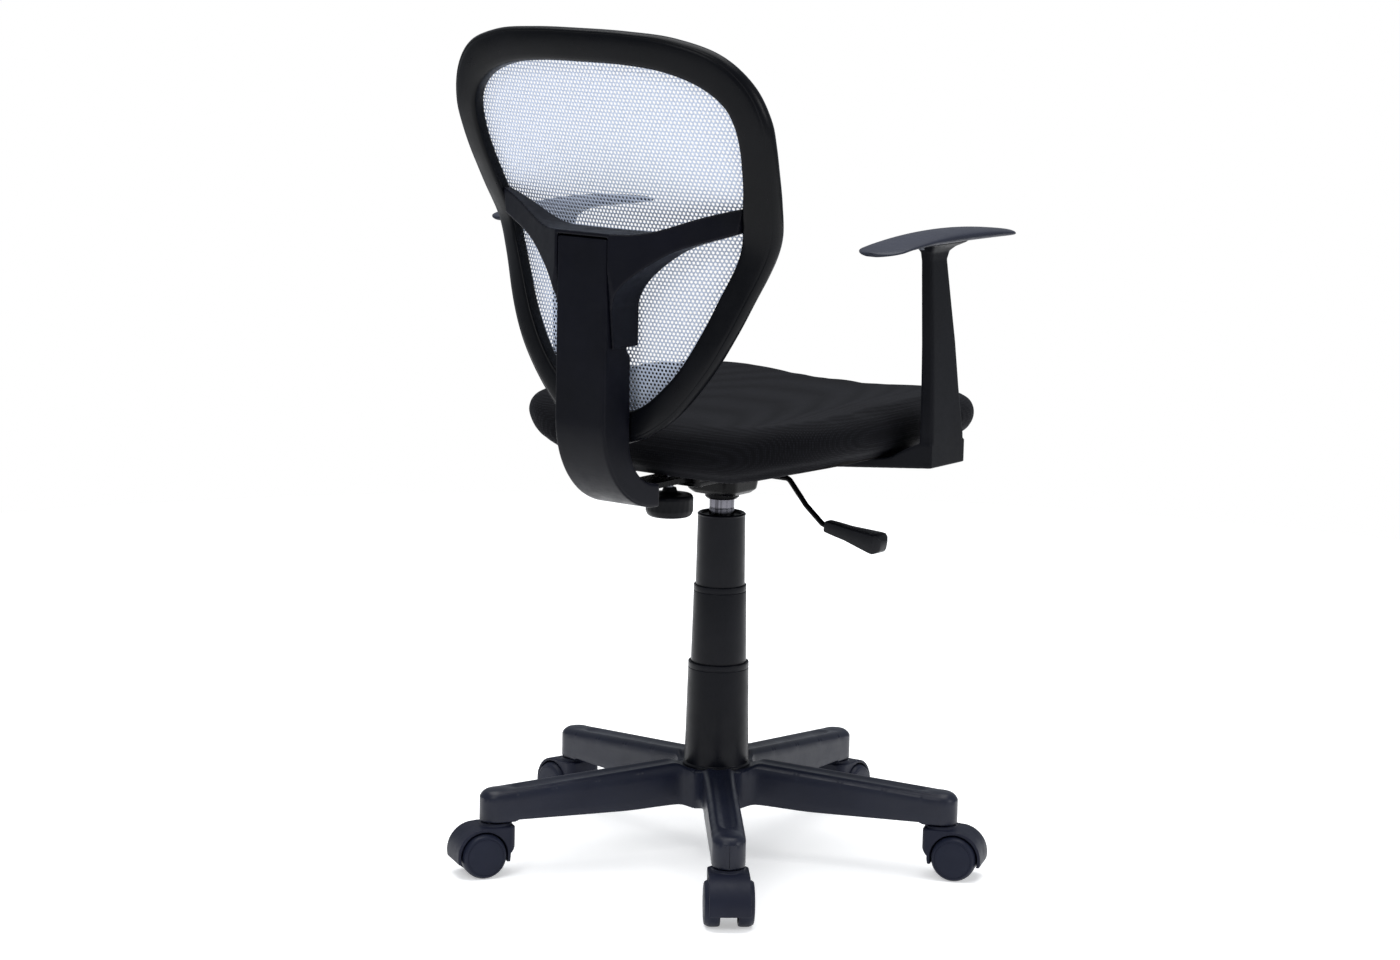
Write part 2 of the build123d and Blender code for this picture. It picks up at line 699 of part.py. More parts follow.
for side, hand in ((-1, "right"), (1, "left")):
    inner_face = side * (arm_x - arm_thick_foot / 2)
    outer_face = side * (arm_x + arm_thick_foot / 2)
    pad_screws_xy = [(side * arm_x, y) for y in pad_screw_y]
    with BuildPart() as armrest:
        with BuildSketch(Plane.XZ.offset(-strap_rear)):
            with BuildLine():
                strap_xs = (strap_end, (strap_end + board_edge) / 2, board_edge)
                strap = ThreePointArc(*[(side * x, board_bottom + dish(x)) for x in strap_xs])
                Polyline(
                    strap @ 0,
                    (side * strap_end, strap_bottom),
                    (outer_face, foot_bottom),
                    (outer_face, foot_top),
                    (inner_face, foot_top),
                    (inner_face, foot_top - 16),
                    (side * (board_edge + 12), board_bottom + board_rise + 1),
                    strap @ 1,
                )
            make_face()
        extrude(amount=strap_rear - strap_front)
        for sections in (post_sections, flare_sections):
            for height, middle, length, thick in sections:
                with BuildSketch(Plane(origin=(side * arm_x, middle, height))):
                    RectangleRounded(thick, length, 5)
            loft()
        for x in arm_bolt_x:
            with BuildSketch(Plane(origin=(side * x, arm_bolt_y, deck_height - 10))):
                Circle(bolt_radius)
            extrude(amount=40, mode=Mode.SUBTRACT)
            with BuildSketch(Plane(origin=(side * x, arm_bolt_y, deck_height - 10))):
                Circle(6.5)
            extrude(amount=board_bottom + dish(x) - strap_web - deck_height + 10, mode=Mode.SUBTRACT)
        with BuildSketch(Plane.XY.offset(pad_underside - 8)):
            with Locations(pad_screws_xy):
                Circle(pad_screw_radius)
        extrude(amount=8, mode=Mode.SUBTRACT)
        with BuildSketch(Plane.XY.offset(pad_underside - 8)):
            with Locations(pad_screws_xy):
                Circle(pad_screw_head)
        extrude(amount=5, mode=Mode.SUBTRACT)
    save(armrest.part, f"armrest_{hand}")

with BuildPart() as arm_pad:
    with BuildSketch(Plane.XY.offset(pad_underside - 10)):
        with Locations((1 - pad_x, pad_front + pad_end_radii[0])):
            Circle(pad_end_radii[0])
        with Locations((-pad_x, pad_rear - pad_end_radii[1])):
            Circle(pad_end_radii[1])
        make_hull()
    extrude(amount=40)
    with BuildSketch(Plane.YZ.offset(-pad_x)):
        with BuildLine():
            ThreePointArc((pad_front, crest(pad_front)), pad_crest, (pad_rear, crest(pad_rear)))
            low_rear = (pad_rear, crest(pad_rear) - pad_edge)
            low_front = (pad_front, crest(pad_front) - pad_edge)
            Line((pad_rear, crest(pad_rear)), low_rear)
            ThreePointArc(low_rear, (50, pad_underside - 1.8), (10, pad_underside))
            Line((10, pad_underside), (-70, pad_underside))
            Line((-70, pad_underside), low_front)
            Line(low_front, (pad_front, crest(pad_front)))
        make_face()
    extrude(amount=40, both=True, mode=Mode.INTERSECT)
    fillet(arm_pad.faces().sort_by(SortBy.AREA)[-1].edges(), 1.8)
    with BuildSketch(Plane.XY.offset(pad_underside - 1)):
        with Locations([(-arm_x, y) for y in pad_screw_y]):
            Circle(pad_screw_radius)
    extrude(amount=10, mode=Mode.SUBTRACT)
save(arm_pad.part, "arm_pad_right")
save(mirror(arm_pad.part, about=Plane.YZ), "arm_pad_left")

with BuildPart() as arm_pad_screws:
    with BuildSketch(Plane.XY.offset(pad_underside - 5.4)):
        with Locations([(side * arm_x, y) for side in (-1, 1) for y in pad_screw_y]):
            Circle(pad_screw_head)
    extrude(amount=2.4)
    with BuildSketch(Plane.XY.offset(pad_underside - 3)):
        with Locations([(side * arm_x, y) for side in (-1, 1) for y in pad_screw_y]):
            Circle(pad_screw_radius)
    extrude(amount=11)
save(arm_pad_screws.part, "arm_pad_screws")

# ---------------------------------------------------------------- back bar and its cover
bar_front = 48
bar_upright_y = 237        # mid-thickness of the upright part
bar_bend = 70
bar_level = bar_top - bar_thickness / 2
bar_end = 700
cover_half_width = 32.5
cover_wall = 2.5
cover_front_y = 160
cover_low_arc = 100
cover_low_centre = 522
cover_high_arc = 54
cover_high_centre = 501
cover_low_face = 215
cover_head_y = 219
cover_step_z = 590
cover_top = 715
cover_front_face = 221
cover_screw_z = (530, 570)
cover_screw_radius = 2.5
cover_head_radius = 4.5
cover_boss_radius = 7.5

with BuildPart() as back_bar:
    with BuildSketch(Plane.YZ):
        with BuildLine():
            for shift in (-bar_thickness / 2, bar_thickness / 2):
                FilletPolyline(
                    (bar_front, bar_level - shift),
                    (bar_upright_y + shift, bar_level - shift),
                    (bar_upright_y + shift, bar_end),
                    radius=bar_bend + shift,
                )
            Line((bar_front, bar_level - bar_thickness / 2), (bar_front, bar_level + bar_thickness / 2))
            Line((bar_upright_y - bar_thickness / 2, bar_end), (bar_upright_y + bar_thickness / 2, bar_end))
        make_face()
    extrude(amount=bar_width / 2, both=True)
    # The clamp screw passes through a slot, and two screws hold the cover
    with BuildSketch(Plane.XY.offset(bar_top - 2 * bar_thickness)):
        with Locations((0, knob_y - 2.5)):
            SlotOverall(54, 2 * screw_radius + free_gap, rotation=90)
    extrude(amount=3 * bar_thickness, mode=Mode.SUBTRACT)
    with BuildSketch(Plane.XZ.offset(-bar_upright_y)):
        with Locations([(0, z) for z in cover_screw_z]):
            Circle(cover_screw_radius)
    extrude(amount=bar_thickness, both=True, mode=Mode.SUBTRACT)
save(back_bar.part, "back_bar")


def cover_side(wall):
    """Side profile of the cover, moved inward by a wall."""
    rear = spine_rear_y - wall
    high_front = cover_front_face + wall
    low_front = cover_low_face + wall
    outer = cover_low_arc - wall
    inner = cover_high_arc + wall
    with BuildSketch() as side:
        with BuildLine():
            CenterArc((cover_front_y, cover_low_centre), outer, -90, 90)
            CenterArc((cover_front_y, cover_high_centre), inner, -90, 90)
            Line((cover_front_y, cover_low_centre - outer), (cover_front_y, cover_high_centre - inner))
            Polyline(
                (cover_front_y + inner, cover_high_centre),
                (low_front, cover_step_z),
                (high_front, cover_step_z + 5),
                (high_front, cover_top - wall),
                (rear, cover_top - wall),
                (rear, cover_low_centre),
            )
        make_face()
    return side.sketch


with BuildPart() as back_bar_cover:
    with BuildSketch(Plane.YZ):
        add(cover_side(0))
    extrude(amount=cover_half_width, both=True)
    outer_faces = back_bar_cover.faces().filter_by(Axis.X)
    fillet(outer_faces.edges().filter_by(lambda edge: edge.center().Y > cover_front_y + 1), 2)
    with BuildSketch(Plane.YZ):
        add(cover_side(cover_wall))
    extrude(amount=cover_half_width - cover_wall, both=True, mode=Mode.SUBTRACT)
    # Bosses that hold the bar, with a recess for each screw's head
    with BuildSketch(Plane.XZ.offset(-cover_low_face - 1)):
        with Locations([(0, z) for z in cover_screw_z]):
            Circle(cover_boss_radius)
    extrude(amount=cover_low_face + 1 + bar_thickness / 2 - bar_upright_y)
    with BuildSketch(Plane.XZ.offset(-bar_upright_y)):
        with Locations([(0, z) for z in cover_screw_z]):
            Circle(cover_screw_radius)
    extrude(amount=40, mode=Mode.SUBTRACT)
    with BuildSketch(Plane.XZ.offset(-cover_head_y)):
        with Locations([(0, z) for z in cover_screw_z]):
            Circle(cover_head_radius)
    extrude(amount=20, mode=Mode.SUBTRACT)
save(back_bar_cover.part, "back_bar_cover")

with BuildPart() as back_bar_screws:
    with BuildSketch(Plane.XZ.offset(-cover_head_y)):
        with Locations([(0, z) for z in cover_screw_z]):
            Circle(cover_head_radius)
    extrude(amount=2.6)
    with BuildSketch(Plane.XZ.offset(-cover_head_y)):
        with Locations([(0, z) for z in cover_screw_z]):
            Circle(cover_screw_radius)
    extrude(amount=cover_head_y - bar_upright_y - bar_thickness / 2)
save(back_bar_screws.part, "back_bar_screws")

# ---------------------------------------------------------------- backrest
frame_depth = 19
mesh_setback = 16.5        # frame's rear face to the mesh's rear face
mesh_thickness = 1.5
shell_half_width = 220
yoke_bottom = 600
yoke_crown = 721
yoke_gap = 0.4
cheek_x = 35.5
cheek_top = 640

# Rear face of the back at equal steps in height: where it crosses the middle plane, and its radius
station_low = 480
station_step = 40
back_stations = [
    (210, 600),
    (211.5, 600),
    (213, 590),
    (215, 520),
    (216, 440),
    (217, 385),
    (219, 405),
    (228, 530),
    (241, 640),
    (254, 700),
    (266, 700),
    (278, 700),
    (290, 700),
]
frame_outer = [
    (0, back_top),
    (60, 930),
    (115, 925),
    (163, 909),
    (191, 880),
    (203, 845),
    (203, 820),
    (198, 780),
    (190, 740),
    (178, 700),
    (162, 660),
    (145, 620),
    (123, 580),
    (92, 540),
    (71, 520),
    (38, 500),
    (0, back_bottom),
]
frame_inner = [
    (0, 896),
    (55, 895),
    (103, 889),
    (142, 874),
    (164, 853),
    (170, 825),
    (165, 780),
    (155, 740),
    (147, 700),
    (130, 660),
    (112, 620),
    (88, 580),
    (70, 560),
    (40, 535),
    (0, 525),
]


def back_shell(setback, thickness):
    """Curved slab whose rear face lies a given distance forward of the back's rear face."""
    grid = []
    for step, (middle, radius) in enumerate(back_stations):
        height = station_low + step * station_step
        row = []
        for x in range(-shell_half_width, shell_half_width + 1, 55):
            row.append((x, middle - setback - radius + sqrt(radius ** 2 - x ** 2), height))
        grid.append(row)
    rear_face = Face.make_surface_from_array_of_points(grid)
    with BuildPart() as shell:
        thicken(rear_face, amount=thickness, normal_override=(0, -1, 0))
    return shell.part


def outline_face(half):
    """Face inside the smooth closed curve through half an outline and its mirror image."""
    with BuildSketch() as region:
        with BuildLine():
            Spline(*half, tangents=((1, 0), (-1, 0)))
            mirror(about=Plane.YZ)
        make_face()
    return region.sketch


with BuildPart() as back_frame:
    with BuildSketch(Plane.XZ):
        add(outline_face(frame_outer))
        add(outline_face(frame_inner), mode=Mode.SUBTRACT)
    extrude(amount=-400)
    add(back_shell(0, frame_depth), mode=Mode.INTERSECT)
save(back_frame.part, "back_frame")

with BuildPart() as back_mesh:
    with BuildSketch(Plane.XZ):
        add(outline_face(frame_inner))
    extrude(amount=-400)
    add(back_shell(mesh_setback, mesh_thickness), mode=Mode.INTERSECT)
save(back_mesh.part, "back_mesh")

with BuildPart() as back_yoke:
    with BuildSketch(Plane.XY.offset(yoke_bottom)):
        with BuildLine():
            ThreePointArc((-170, 179), (0, 207.5), (170, 179))
            for side in (-1, 1):
                Spline((side * cheek_x, spine_rear_y), (side * 70, 241), (side * 110, 219), (side * 170, 190))
                Line((side * 170, 190), (side * 170, 179))
            Line((-cheek_x, spine_rear_y), (cheek_x, spine_rear_y))
        make_face()
    extrude(amount=160)
    # Seen from behind: arms that rise from the two cheeks to the frame
    with BuildSketch(Plane.XZ):
        with BuildLine():
            Line((-45, yoke_crown), (45, yoke_crown))
            Line((-cheek_x, yoke_bottom), (cheek_x, yoke_bottom))
            for side in (-1, 1):
                crown = [(side * 45, yoke_crown), (side * 110, 738), (side * 165, 754)]
                Spline(crown, tangents=((side, 0), (side, 0.25)))
                Polyline((side * 165, 754), (side * 165, 731), (side * 156, 727))
                Spline(
                    (side * 156, 727),
                    (side * 127, 717),
                    (side * 95, 705),
                    (side * 73, 691),
                    (side * 55, 676),
                    (side * 45, 665),
                    (side * cheek_x, cheek_top),
                )
                Line((side * cheek_x, cheek_top), (side * cheek_x, yoke_bottom))
        make_face()
    extrude(amount=-400, mode=Mode.INTERSECT)
    # Seen from the side: the cheeks are shallower at their lower end
    with BuildSketch(Plane.YZ):
        Polygon((150, yoke_bottom), (250, yoke_bottom), (262, 700), (262, 780), (150, 780), align=None)
    extrude(amount=200, both=True, mode=Mode.INTERSECT)
    with BuildSketch(Plane.XZ):
        add(outline_face(frame_inner))
    extrude(amount=-400, mode=Mode.INTERSECT)
    # Channel for the back bar's cover
    with BuildSketch(Plane.XY.offset(yoke_bottom)):
        with Locations((0, cover_front_face - yoke_gap)):
            Rectangle(2 * (cover_half_width + yoke_gap), 80, align=(Align.CENTER, Align.MIN))
    extrude(amount=cover_top + 2 - yoke_bottom, mode=Mode.SUBTRACT)
save(back_yoke.part, "back_yoke")
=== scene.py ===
"""Swivel office chair: the looks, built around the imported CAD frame.

Lengths are millimetres until raw_mesh scales them. The lights and the camera are placed in metres.
"""

import math

import bmesh
import bpy
import numpy as np
from mathutils import Matrix, Vector


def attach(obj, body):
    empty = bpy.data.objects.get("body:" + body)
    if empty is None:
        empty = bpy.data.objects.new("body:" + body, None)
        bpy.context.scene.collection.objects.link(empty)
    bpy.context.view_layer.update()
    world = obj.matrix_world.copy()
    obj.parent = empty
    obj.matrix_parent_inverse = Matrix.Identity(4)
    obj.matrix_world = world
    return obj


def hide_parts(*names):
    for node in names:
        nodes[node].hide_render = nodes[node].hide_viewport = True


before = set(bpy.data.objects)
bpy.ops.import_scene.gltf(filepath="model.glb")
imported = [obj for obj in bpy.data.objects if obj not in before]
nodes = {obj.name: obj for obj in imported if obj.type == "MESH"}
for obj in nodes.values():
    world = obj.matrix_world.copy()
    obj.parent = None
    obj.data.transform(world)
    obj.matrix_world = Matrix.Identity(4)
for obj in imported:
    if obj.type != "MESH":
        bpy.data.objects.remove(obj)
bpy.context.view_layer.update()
MM = 0.001
scene = bpy.context.scene


# ------------------------------------------------------------------ materials
def linear(red, green, blue):
    """Linear colour from 8-bit sRGB."""
    shares = (channel / 255 for channel in (red, green, blue))
    return tuple(s / 12.92 if s < 0.04045 else ((s + 0.055) / 1.055) ** 2.4 for s in shares)


class Shader:
    """A Principled material and the few kinds of node chain the chair needs."""

    def __init__(self, name, **values):
        self.material = bpy.data.materials.new(name)
        self.material.use_nodes = True
        self.tree = self.material.node_tree
        self.shader = self.tree.nodes["Principled BSDF"]
        self.place = self.node("ShaderNodeTexCoord").outputs["Object"]
        self.height = None
        for socket, value in values.items():
            self.shader.inputs[socket.replace("_", " ")].default_value = value

    def node(self, kind, **settings):
        made = self.tree.nodes.new(kind)
        for key, value in settings.items():
            setattr(made, key, value)
        return made

    def link(self, a, b):
        self.tree.links.new(a, b)

    def noise(self, scale, detail=3.0, roughness=0.6, place=None):
        made = self.node("ShaderNodeTexNoise")
        made.inputs["Scale"].default_value = scale
        made.inputs["Detail"].default_value = detail
        made.inputs["Roughness"].default_value = roughness
        self.link(self.place if place is None else place, made.inputs["Vector"])
        return made.outputs["Fac"]

    def cells(self, scale, randomness):
        """Distance to the nearest point of a grid of points."""
        made = self.node("ShaderNodeTexVoronoi")
        made.inputs["Scale"].default_value = scale
        made.inputs["Randomness"].default_value = randomness
        self.link(self.place, made.inputs["Vector"])
        return made.outputs["Distance"]

    def stretched(self, x, y, z):
        """Object coordinates scaled apart on each axis."""
        made = self.node("ShaderNodeMapping")
        made.inputs["Scale"].default_value = (x, y, z)
        self.link(self.place, made.inputs["Vector"])
        return made.outputs["Vector"]

    def spread(self, factor, low, high, start=0.3, end=0.7):
        """Remaps a 0 to 1 pattern to a range of values."""
        made = self.node("ShaderNodeMapRange")
        limits = {"From Min": start, "From Max": end, "To Min": low, "To Max": high}
        for socket, value in limits.items():
            made.inputs[socket].default_value = value
        self.link(factor, made.inputs["Value"])
        return made.outputs["Result"]

    def blend(self, factor, a, b):
        """A colour between a and b, each a colour or a socket."""
        made = self.node("ShaderNodeMix", data_type="RGBA")
        self.link(factor, made.inputs["Factor"])
        for socket, value in ((made.inputs[6], a), (made.inputs[7], b)):
            if isinstance(value, tuple):
                socket.default_value = (*value, 1)
            else:
                self.link(value, socket)
        return made.outputs[2]

    def colour(self, source):
        self.link(source, self.shader.inputs["Base Color"])

    def rough(self, source):
        self.link(source, self.shader.inputs["Roughness"])

    def bump(self, source, strength, depth):
        """Adds a relief, depth in millimetres, on top of those already there."""
        made = self.node("ShaderNodeBump")
        made.inputs["Strength"].default_value = strength
        made.inputs["Distance"].default_value = depth * MM
        self.link(source, made.inputs["Height"])
        if self.height is not None:
            self.link(self.height, made.inputs["Normal"])
        self.height = made.outputs["Normal"]
        self.link(self.height, self.shader.inputs["Normal"])


def plastic(name, dark, light, gloss, grain=1400, grain_depth=0.06, specular=0.25):
    """Moulded plastic with spark-eroded grain, faint flow marks, dust and handling polish."""
    made = Shader(name, Specular_IOR_Level=specular)
    flow = made.noise(9, 4)
    made.colour(made.blend(made.spread(flow, 0, 1), linear(*dark), linear(*light)))
    polish = made.noise(60, 5, 0.7)
    made.rough(made.spread(polish, gloss - 0.07, gloss + 0.09))
    made.bump(made.noise(grain, 2), 0.5, grain_depth)
    made.bump(made.noise(34, 2), 0.1, 0.25)
    return made.material


def metal(name, tint, gloss, metallic, lines=0.0, specular=0.5):
    """Metal or powder coat: orange peel and stains, or painted reflection streaks along Z, which lines scales
    down there.
    """
    made = Shader(name, Metallic=metallic, Specular_IOR_Level=specular)
    marks = made.noise(300, 2, 0.5, made.stretched(1, 1, lines) if lines else None)
    # With lines, dark streaks along Z are painted into the colour as reflections; otherwise the darker
    # patches are stains.
    if lines:
        pattern, dark_end = made.spread(marks, 0, 1, 0.42, 0.58), 0.3
    else:
        pattern, dark_end = made.spread(made.noise(40, 4), 0, 1), 0.8
    shade = linear(*tint)
    made.colour(made.blend(pattern, tuple(c * dark_end for c in shade), shade))
    made.rough(made.spread(marks, gloss - 0.05, gloss + 0.1))
    made.bump(marks, 0.15, 0.03)
    return made.material


def knitted(name, dark, light, scale, depth, sheen):
    """Spacer-knit cloth: rows of small knots with yarn fuzz between them, and painted shade that darkens the
    hollows between the knots.
    """
    made = Shader(name, Specular_IOR_Level=0.12, Sheen_Weight=sheen, Sheen_Roughness=0.5)
    made.shader.inputs["Sheen Tint"].default_value = (*linear(120, 124, 140), 1)
    knots = made.cells(scale, 0.12)
    worn = made.noise(7, 4)
    # Painted shade: the colour darkens from each knot's top into the hollows between knots, where the bump is
    # lowest.
    knots_and_painted_hollow_shade = made.blend(made.spread(knots, 0, 1, 0.15, 0.5), linear(*light), linear(*dark))
    made.colour(made.blend(made.spread(worn, 0, 0.45), knots_and_painted_hollow_shade, linear(*dark)))
    made.rough(made.spread(knots, 0.75, 0.95, 0.1, 0.6))
    made.bump(made.spread(knots, 1, 0, 0.1, 0.55), 0.55, depth)
    made.bump(made.noise(2600, 2), 0.25, 0.1)
    return made.material


def plywood():
    """Edge-glued plies, stained black on the outside."""
    made = Shader("plywood_black", Specular_IOR_Level=0.1)
    plies = made.node("ShaderNodeTexWave", bands_direction="Z")
    plies.inputs["Scale"].default_value = 210
    plies.inputs["Distortion"].default_value = 1.2
    made.link(made.place, plies.inputs["Vector"])
    grain = made.noise(40, 2, 0.5, made.stretched(1, 12, 1))
    wood = made.blend(grain, linear(12, 11, 12), linear(20, 18, 18))
    made.colour(made.blend(made.spread(plies.outputs["Fac"], 0, 0.4), wood, linear(9, 8, 9)))
    made.rough(made.spread(grain, 0.65, 0.85))
    made.bump(grain, 0.4, 0.2)
    return made.material


# Colours are 8-bit sRGB, from the darker to the lighter end of each material's spread
base_skin = plastic("nylon_base", (17, 20, 33), (22, 26, 41), 0.36, specular=0.26)
caster_skin = plastic("nylon_caster", (18, 21, 34), (24, 27, 42), 0.5, specular=0.17)
tread_skin = plastic("nylon_wheel", (19, 22, 35), (25, 29, 44), 0.46, 700, specular=0.15)
cover_skin = plastic("polypropylene_cover", (9, 10, 15), (13, 14, 21), 0.34, specular=0.13)
arm_skin = plastic("polypropylene_arm", (10, 11, 15), (14, 15, 20), 0.46, specular=0.1)
spine_skin = plastic("polypropylene_back", (7, 8, 14), (11, 12, 21), 0.4, specular=0.1)
frame_skin = plastic("frame_black", (6, 7, 10), (9, 10, 14), 0.32, specular=0.1)
pad_skin = plastic("polyurethane_pad", (27, 30, 41), (34, 37, 50), 0.46, 420, 0.14, 0.2)
grip_skin = plastic("grip_black", (10, 11, 15), (15, 16, 21), 0.42, 500, 0.12, 0.16)
knob_skin = plastic("knob_black", (8, 9, 12), (12, 13, 17), 0.36, specular=0.12)
inner_skin = plastic("inner_plastic", (8, 9, 11), (12, 12, 15), 0.6, specular=0.08)
powder_coat = metal("powder_coat", (5, 5, 7), 0.24, 0.0, specular=0.1)
# The chrome's dark streaks along Z are painted reflections.
chrome = metal("chromed_steel", (112, 111, 118), 0.16, 1.0, lines=0.02)
zinc = metal("zinc_plated", (130, 132, 138), 0.32, 1.0)
seat_cloth = knitted("seat_spacer_knit", (5, 5, 8), (15, 16, 22), 420, 0.5, 0.04)
back_yarn = knitted("back_mesh_yarn", (196, 206, 226), (222, 229, 243), 900, 0.15, 0.1)
board_skin = plywood()


# ------------------------------------------------------------------ mesh helpers
weld_distance = 0.02 * MM


def raw_mesh(name, points, faces):
    """A mesh from points in millimetres."""
    mesh = bpy.data.meshes.new(name)
    mesh.from_pydata([tuple(float(c) * MM for c in p) for p in points], [], faces)
    return mesh


def piece(name, points, faces, material, body, slot, replaced):
    """A smooth-shaded object riding on a body and standing for a CAD node."""
    return dressed(name, raw_mesh(name, points, faces), material, body, replaced)


def dressed(name, mesh, material, body, replaced):
    """Welds and smooths a mesh, gives it a material and a body, and hides the node it stands for."""
    work = bmesh.new()
    work.from_mesh(mesh)
    bmesh.ops.remove_doubles(work, verts=work.verts, dist=weld_distance)
    bmesh.ops.recalc_face_normals(work, faces=work.faces)
    work.to_mesh(mesh)
    work.free()
    mesh.materials.clear()
    mesh.materials.append(material)
    mesh.polygons.foreach_set("use_smooth", [True] * len(mesh.polygons))
    made = bpy.data.objects.new(name, mesh)
    scene.collection.objects.link(made)
    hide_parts(replaced)
    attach(made, body)
    return made


def applied(made):
    """Replaces an object's mesh by what its modifiers make of it."""
    graph = bpy.context.evaluated_depsgraph_get()
    graph.update()
    mesh = bpy.data.meshes.new_from_object(made.evaluated_get(graph))
    made.modifiers.clear()
    old = made.data
    made.data = mesh
    bpy.data.meshes.remove(old)
    return made


def sharpen(made, angle=35):
    """Keeps hard edges hard in a smooth-shaded mesh."""
    mesh = made.data
    work = bmesh.new()
    work.from_mesh(mesh)
    limit = math.radians(angle)
    for edge in work.edges:
        edge.smooth = len(edge.link_faces) != 2 or edge.calc_face_angle(0) < limit
    work.to_mesh(mesh)
    work.free()
    return made


def tube(rings, closed_ends=True):
    """Faces between successive closed rings of equal length, with capped ends."""
    count = len(rings[0])
    points = [p for ring in rings for p in ring]
    faces = []
    for i in range(len(rings) - 1):
        for j in range(count):
            k = (j + 1) % count
            faces.append((i * count + j, i * count + k, (i + 1) * count + k, (i + 1) * count + j))
    if closed_ends:
        faces.append(tuple(range(count - 1, -1, -1)))
        last = (len(rings) - 1) * count
        faces.append(tuple(range(last, last + count)))
    return points, faces


def turned(profile, place=Matrix.Identity(4), steps=96, flutes=0, flute_depth=0.0):
    """(radius, height) pairs turned about the local Z axis. A third value marks a fluted radius."""
    points = []
    for step in range(steps):
        angle = 2 * math.pi * step / steps
        for radius, height, *fluted in profile:
            if fluted:
                radius -= flute_depth * (0.5 - 0.5 * math.cos(flutes * angle))
            points.append(place @ Vector((radius * math.cos(angle), radius * math.sin(angle), height)))
    count = len(profile)
    faces = []
    for i in range(steps):
        n = (i + 1) % steps
        for j in range(count - 1):
            faces.append((i * count + j, n * count + j, n * count + j + 1, i * count + j + 1))
    return points, faces


def turned_piece(name, profile, material, body, slot, replaced, angle=35, **turning):
    """A turned form as a piece that keeps its hard edges."""
    points, faces = turned(profile, **turning)
    return sharpen(piece(name, points, faces, material, body, slot, replaced), angle)


def rounded(corners, radius=0.8, steps=4):
    """A profile with rounded corners: (radius, height), and its own rounding as a third value."""
    result = [tuple(corners[0][:2])]
    for before, corner, after in zip(corners, corners[1:], corners[2:]):
        own = corner[2] if len(corner) > 2 else radius
        here = np.array(corner[:2], float)
        to_last, to_next = np.array(before[:2]) - here, np.array(after[:2]) - here
        last_length, next_length = np.linalg.norm(to_last), np.linalg.norm(to_next)
        cut = min(own, last_length * 0.45, next_length * 0.45)
        start = here + to_last / last_length * cut
        end = here + to_next / next_length * cut
        for step in range(steps + 1):
            t = step / steps
            result.append(tuple((1 - t) ** 2 * start + 2 * t * (1 - t) * here + t * t * end))
    result.append(tuple(corners[-1][:2]))
    return result


def remoulded(mesh, voxel, passes, share):
    """A mesh remeshed finely and smoothed so that its edges round over, with a share of its faces kept."""
    made = bpy.data.objects.new("remoulded", mesh)
    scene.collection.objects.link(made)
    remesh = made.modifiers.new("remesh", "REMESH")
    remesh.mode = "VOXEL"
    remesh.voxel_size = voxel * MM
    smooth = made.modifiers.new("smooth", "SMOOTH")
    smooth.factor = 0.5
    smooth.iterations = passes
    thin = made.modifiers.new("thin", "DECIMATE")
    thin.ratio = share
    applied(made)
    mesh = made.data
    bpy.data.objects.remove(made)
    return mesh


def softened(name, node, voxel, passes, share, material, body):
    """A moulded copy of a CAD node."""
    mesh = remoulded(nodes[node].data.copy(), voxel, passes, share)
    return dressed(name, mesh, material, body, node)


def joined(shells):
    """Several pairs of points and faces as one."""
    points, faces = [], []
    for shell_points, shell_faces in shells:
        start = len(points)
        points += shell_points
        faces += [tuple(i + start for i in face) for face in shell_faces]
    return points, faces


def merged(shells, voxel, passes, share):
    """One smooth skin around overlapping closed shells."""
    mesh = raw_mesh("merged", *joined(shells))
    work = bmesh.new()
    work.from_mesh(mesh)
    bmesh.ops.recalc_face_normals(work, faces=work.faces)
    work.to_mesh(mesh)
    work.free()
    return remoulded(mesh, voxel, passes, share)


def rounded_ring(half_a, half_b, radius, corner_steps=5):
    """Points of a rounded rectangle about the origin."""
    ring = []
    for quarter, (sign_a, sign_b) in enumerate(((1, 1), (-1, 1), (-1, -1), (1, -1))):
        for step in range(corner_steps + 1):
            turn = (quarter + step / corner_steps) * math.pi / 2
            ring.append((sign_a * (half_a - radius) + radius * math.cos(turn),
                         sign_b * (half_b - radius) + radius * math.sin(turn)))
    return ring


def stack(sections, corner):
    """A closed form through rounded rectangles: height, middle x, middle y, half x, half y."""
    rings = []
    for z, x, y, half_a, half_b in sections:
        radius = min(corner, half_a, half_b) - 0.01
        rings.append([(x + a, y + b, z) for a, b in rounded_ring(half_a, half_b, radius)])
    return tube(rings)


def smoothstep(low, high, value):
    """0 below low, 1 above high, and a smooth rise between them."""
    t = np.clip((value - low) / (high - low), 0, 1)
    return t * t * (3 - 2 * t)


# ------------------------------------------------------------------ star base
first_leg_angle = 56.9
leg_angles = [first_leg_angle + 72 * k for k in range(5)]
base_radius = 258          # from the column to a caster's stem
leg_half_width = 16.8
tip_radius = 18
web_radius = 24            # hollow corner between two legs
edge_radius = 8            # rounding of the legs' upper edges
hub_top = 105
crown_height, crown_fall = 117.2, 0.0895   # of a leg: at the column if it ran on, and its fall per millimetre
channel_depth, channel_edge = 2.3, 12.5
dome_height = 1.6          # over a caster's stem
leg_wall, leg_roof = 3.4, 4.5
rim_height = 65
pocket_start, pocket_end = 46, 239
rib_starts, rib_width, rib_recess = (94, 144, 194), 4, 3
half_pitch = math.radians(36)
web_distance = (leg_half_width + web_radius) / math.sin(half_pitch)
web_a = web_distance * math.cos(half_pitch)
web_b = web_distance * math.sin(half_pitch)
neck_a = (web_distance - web_radius) * math.cos(half_pitch)


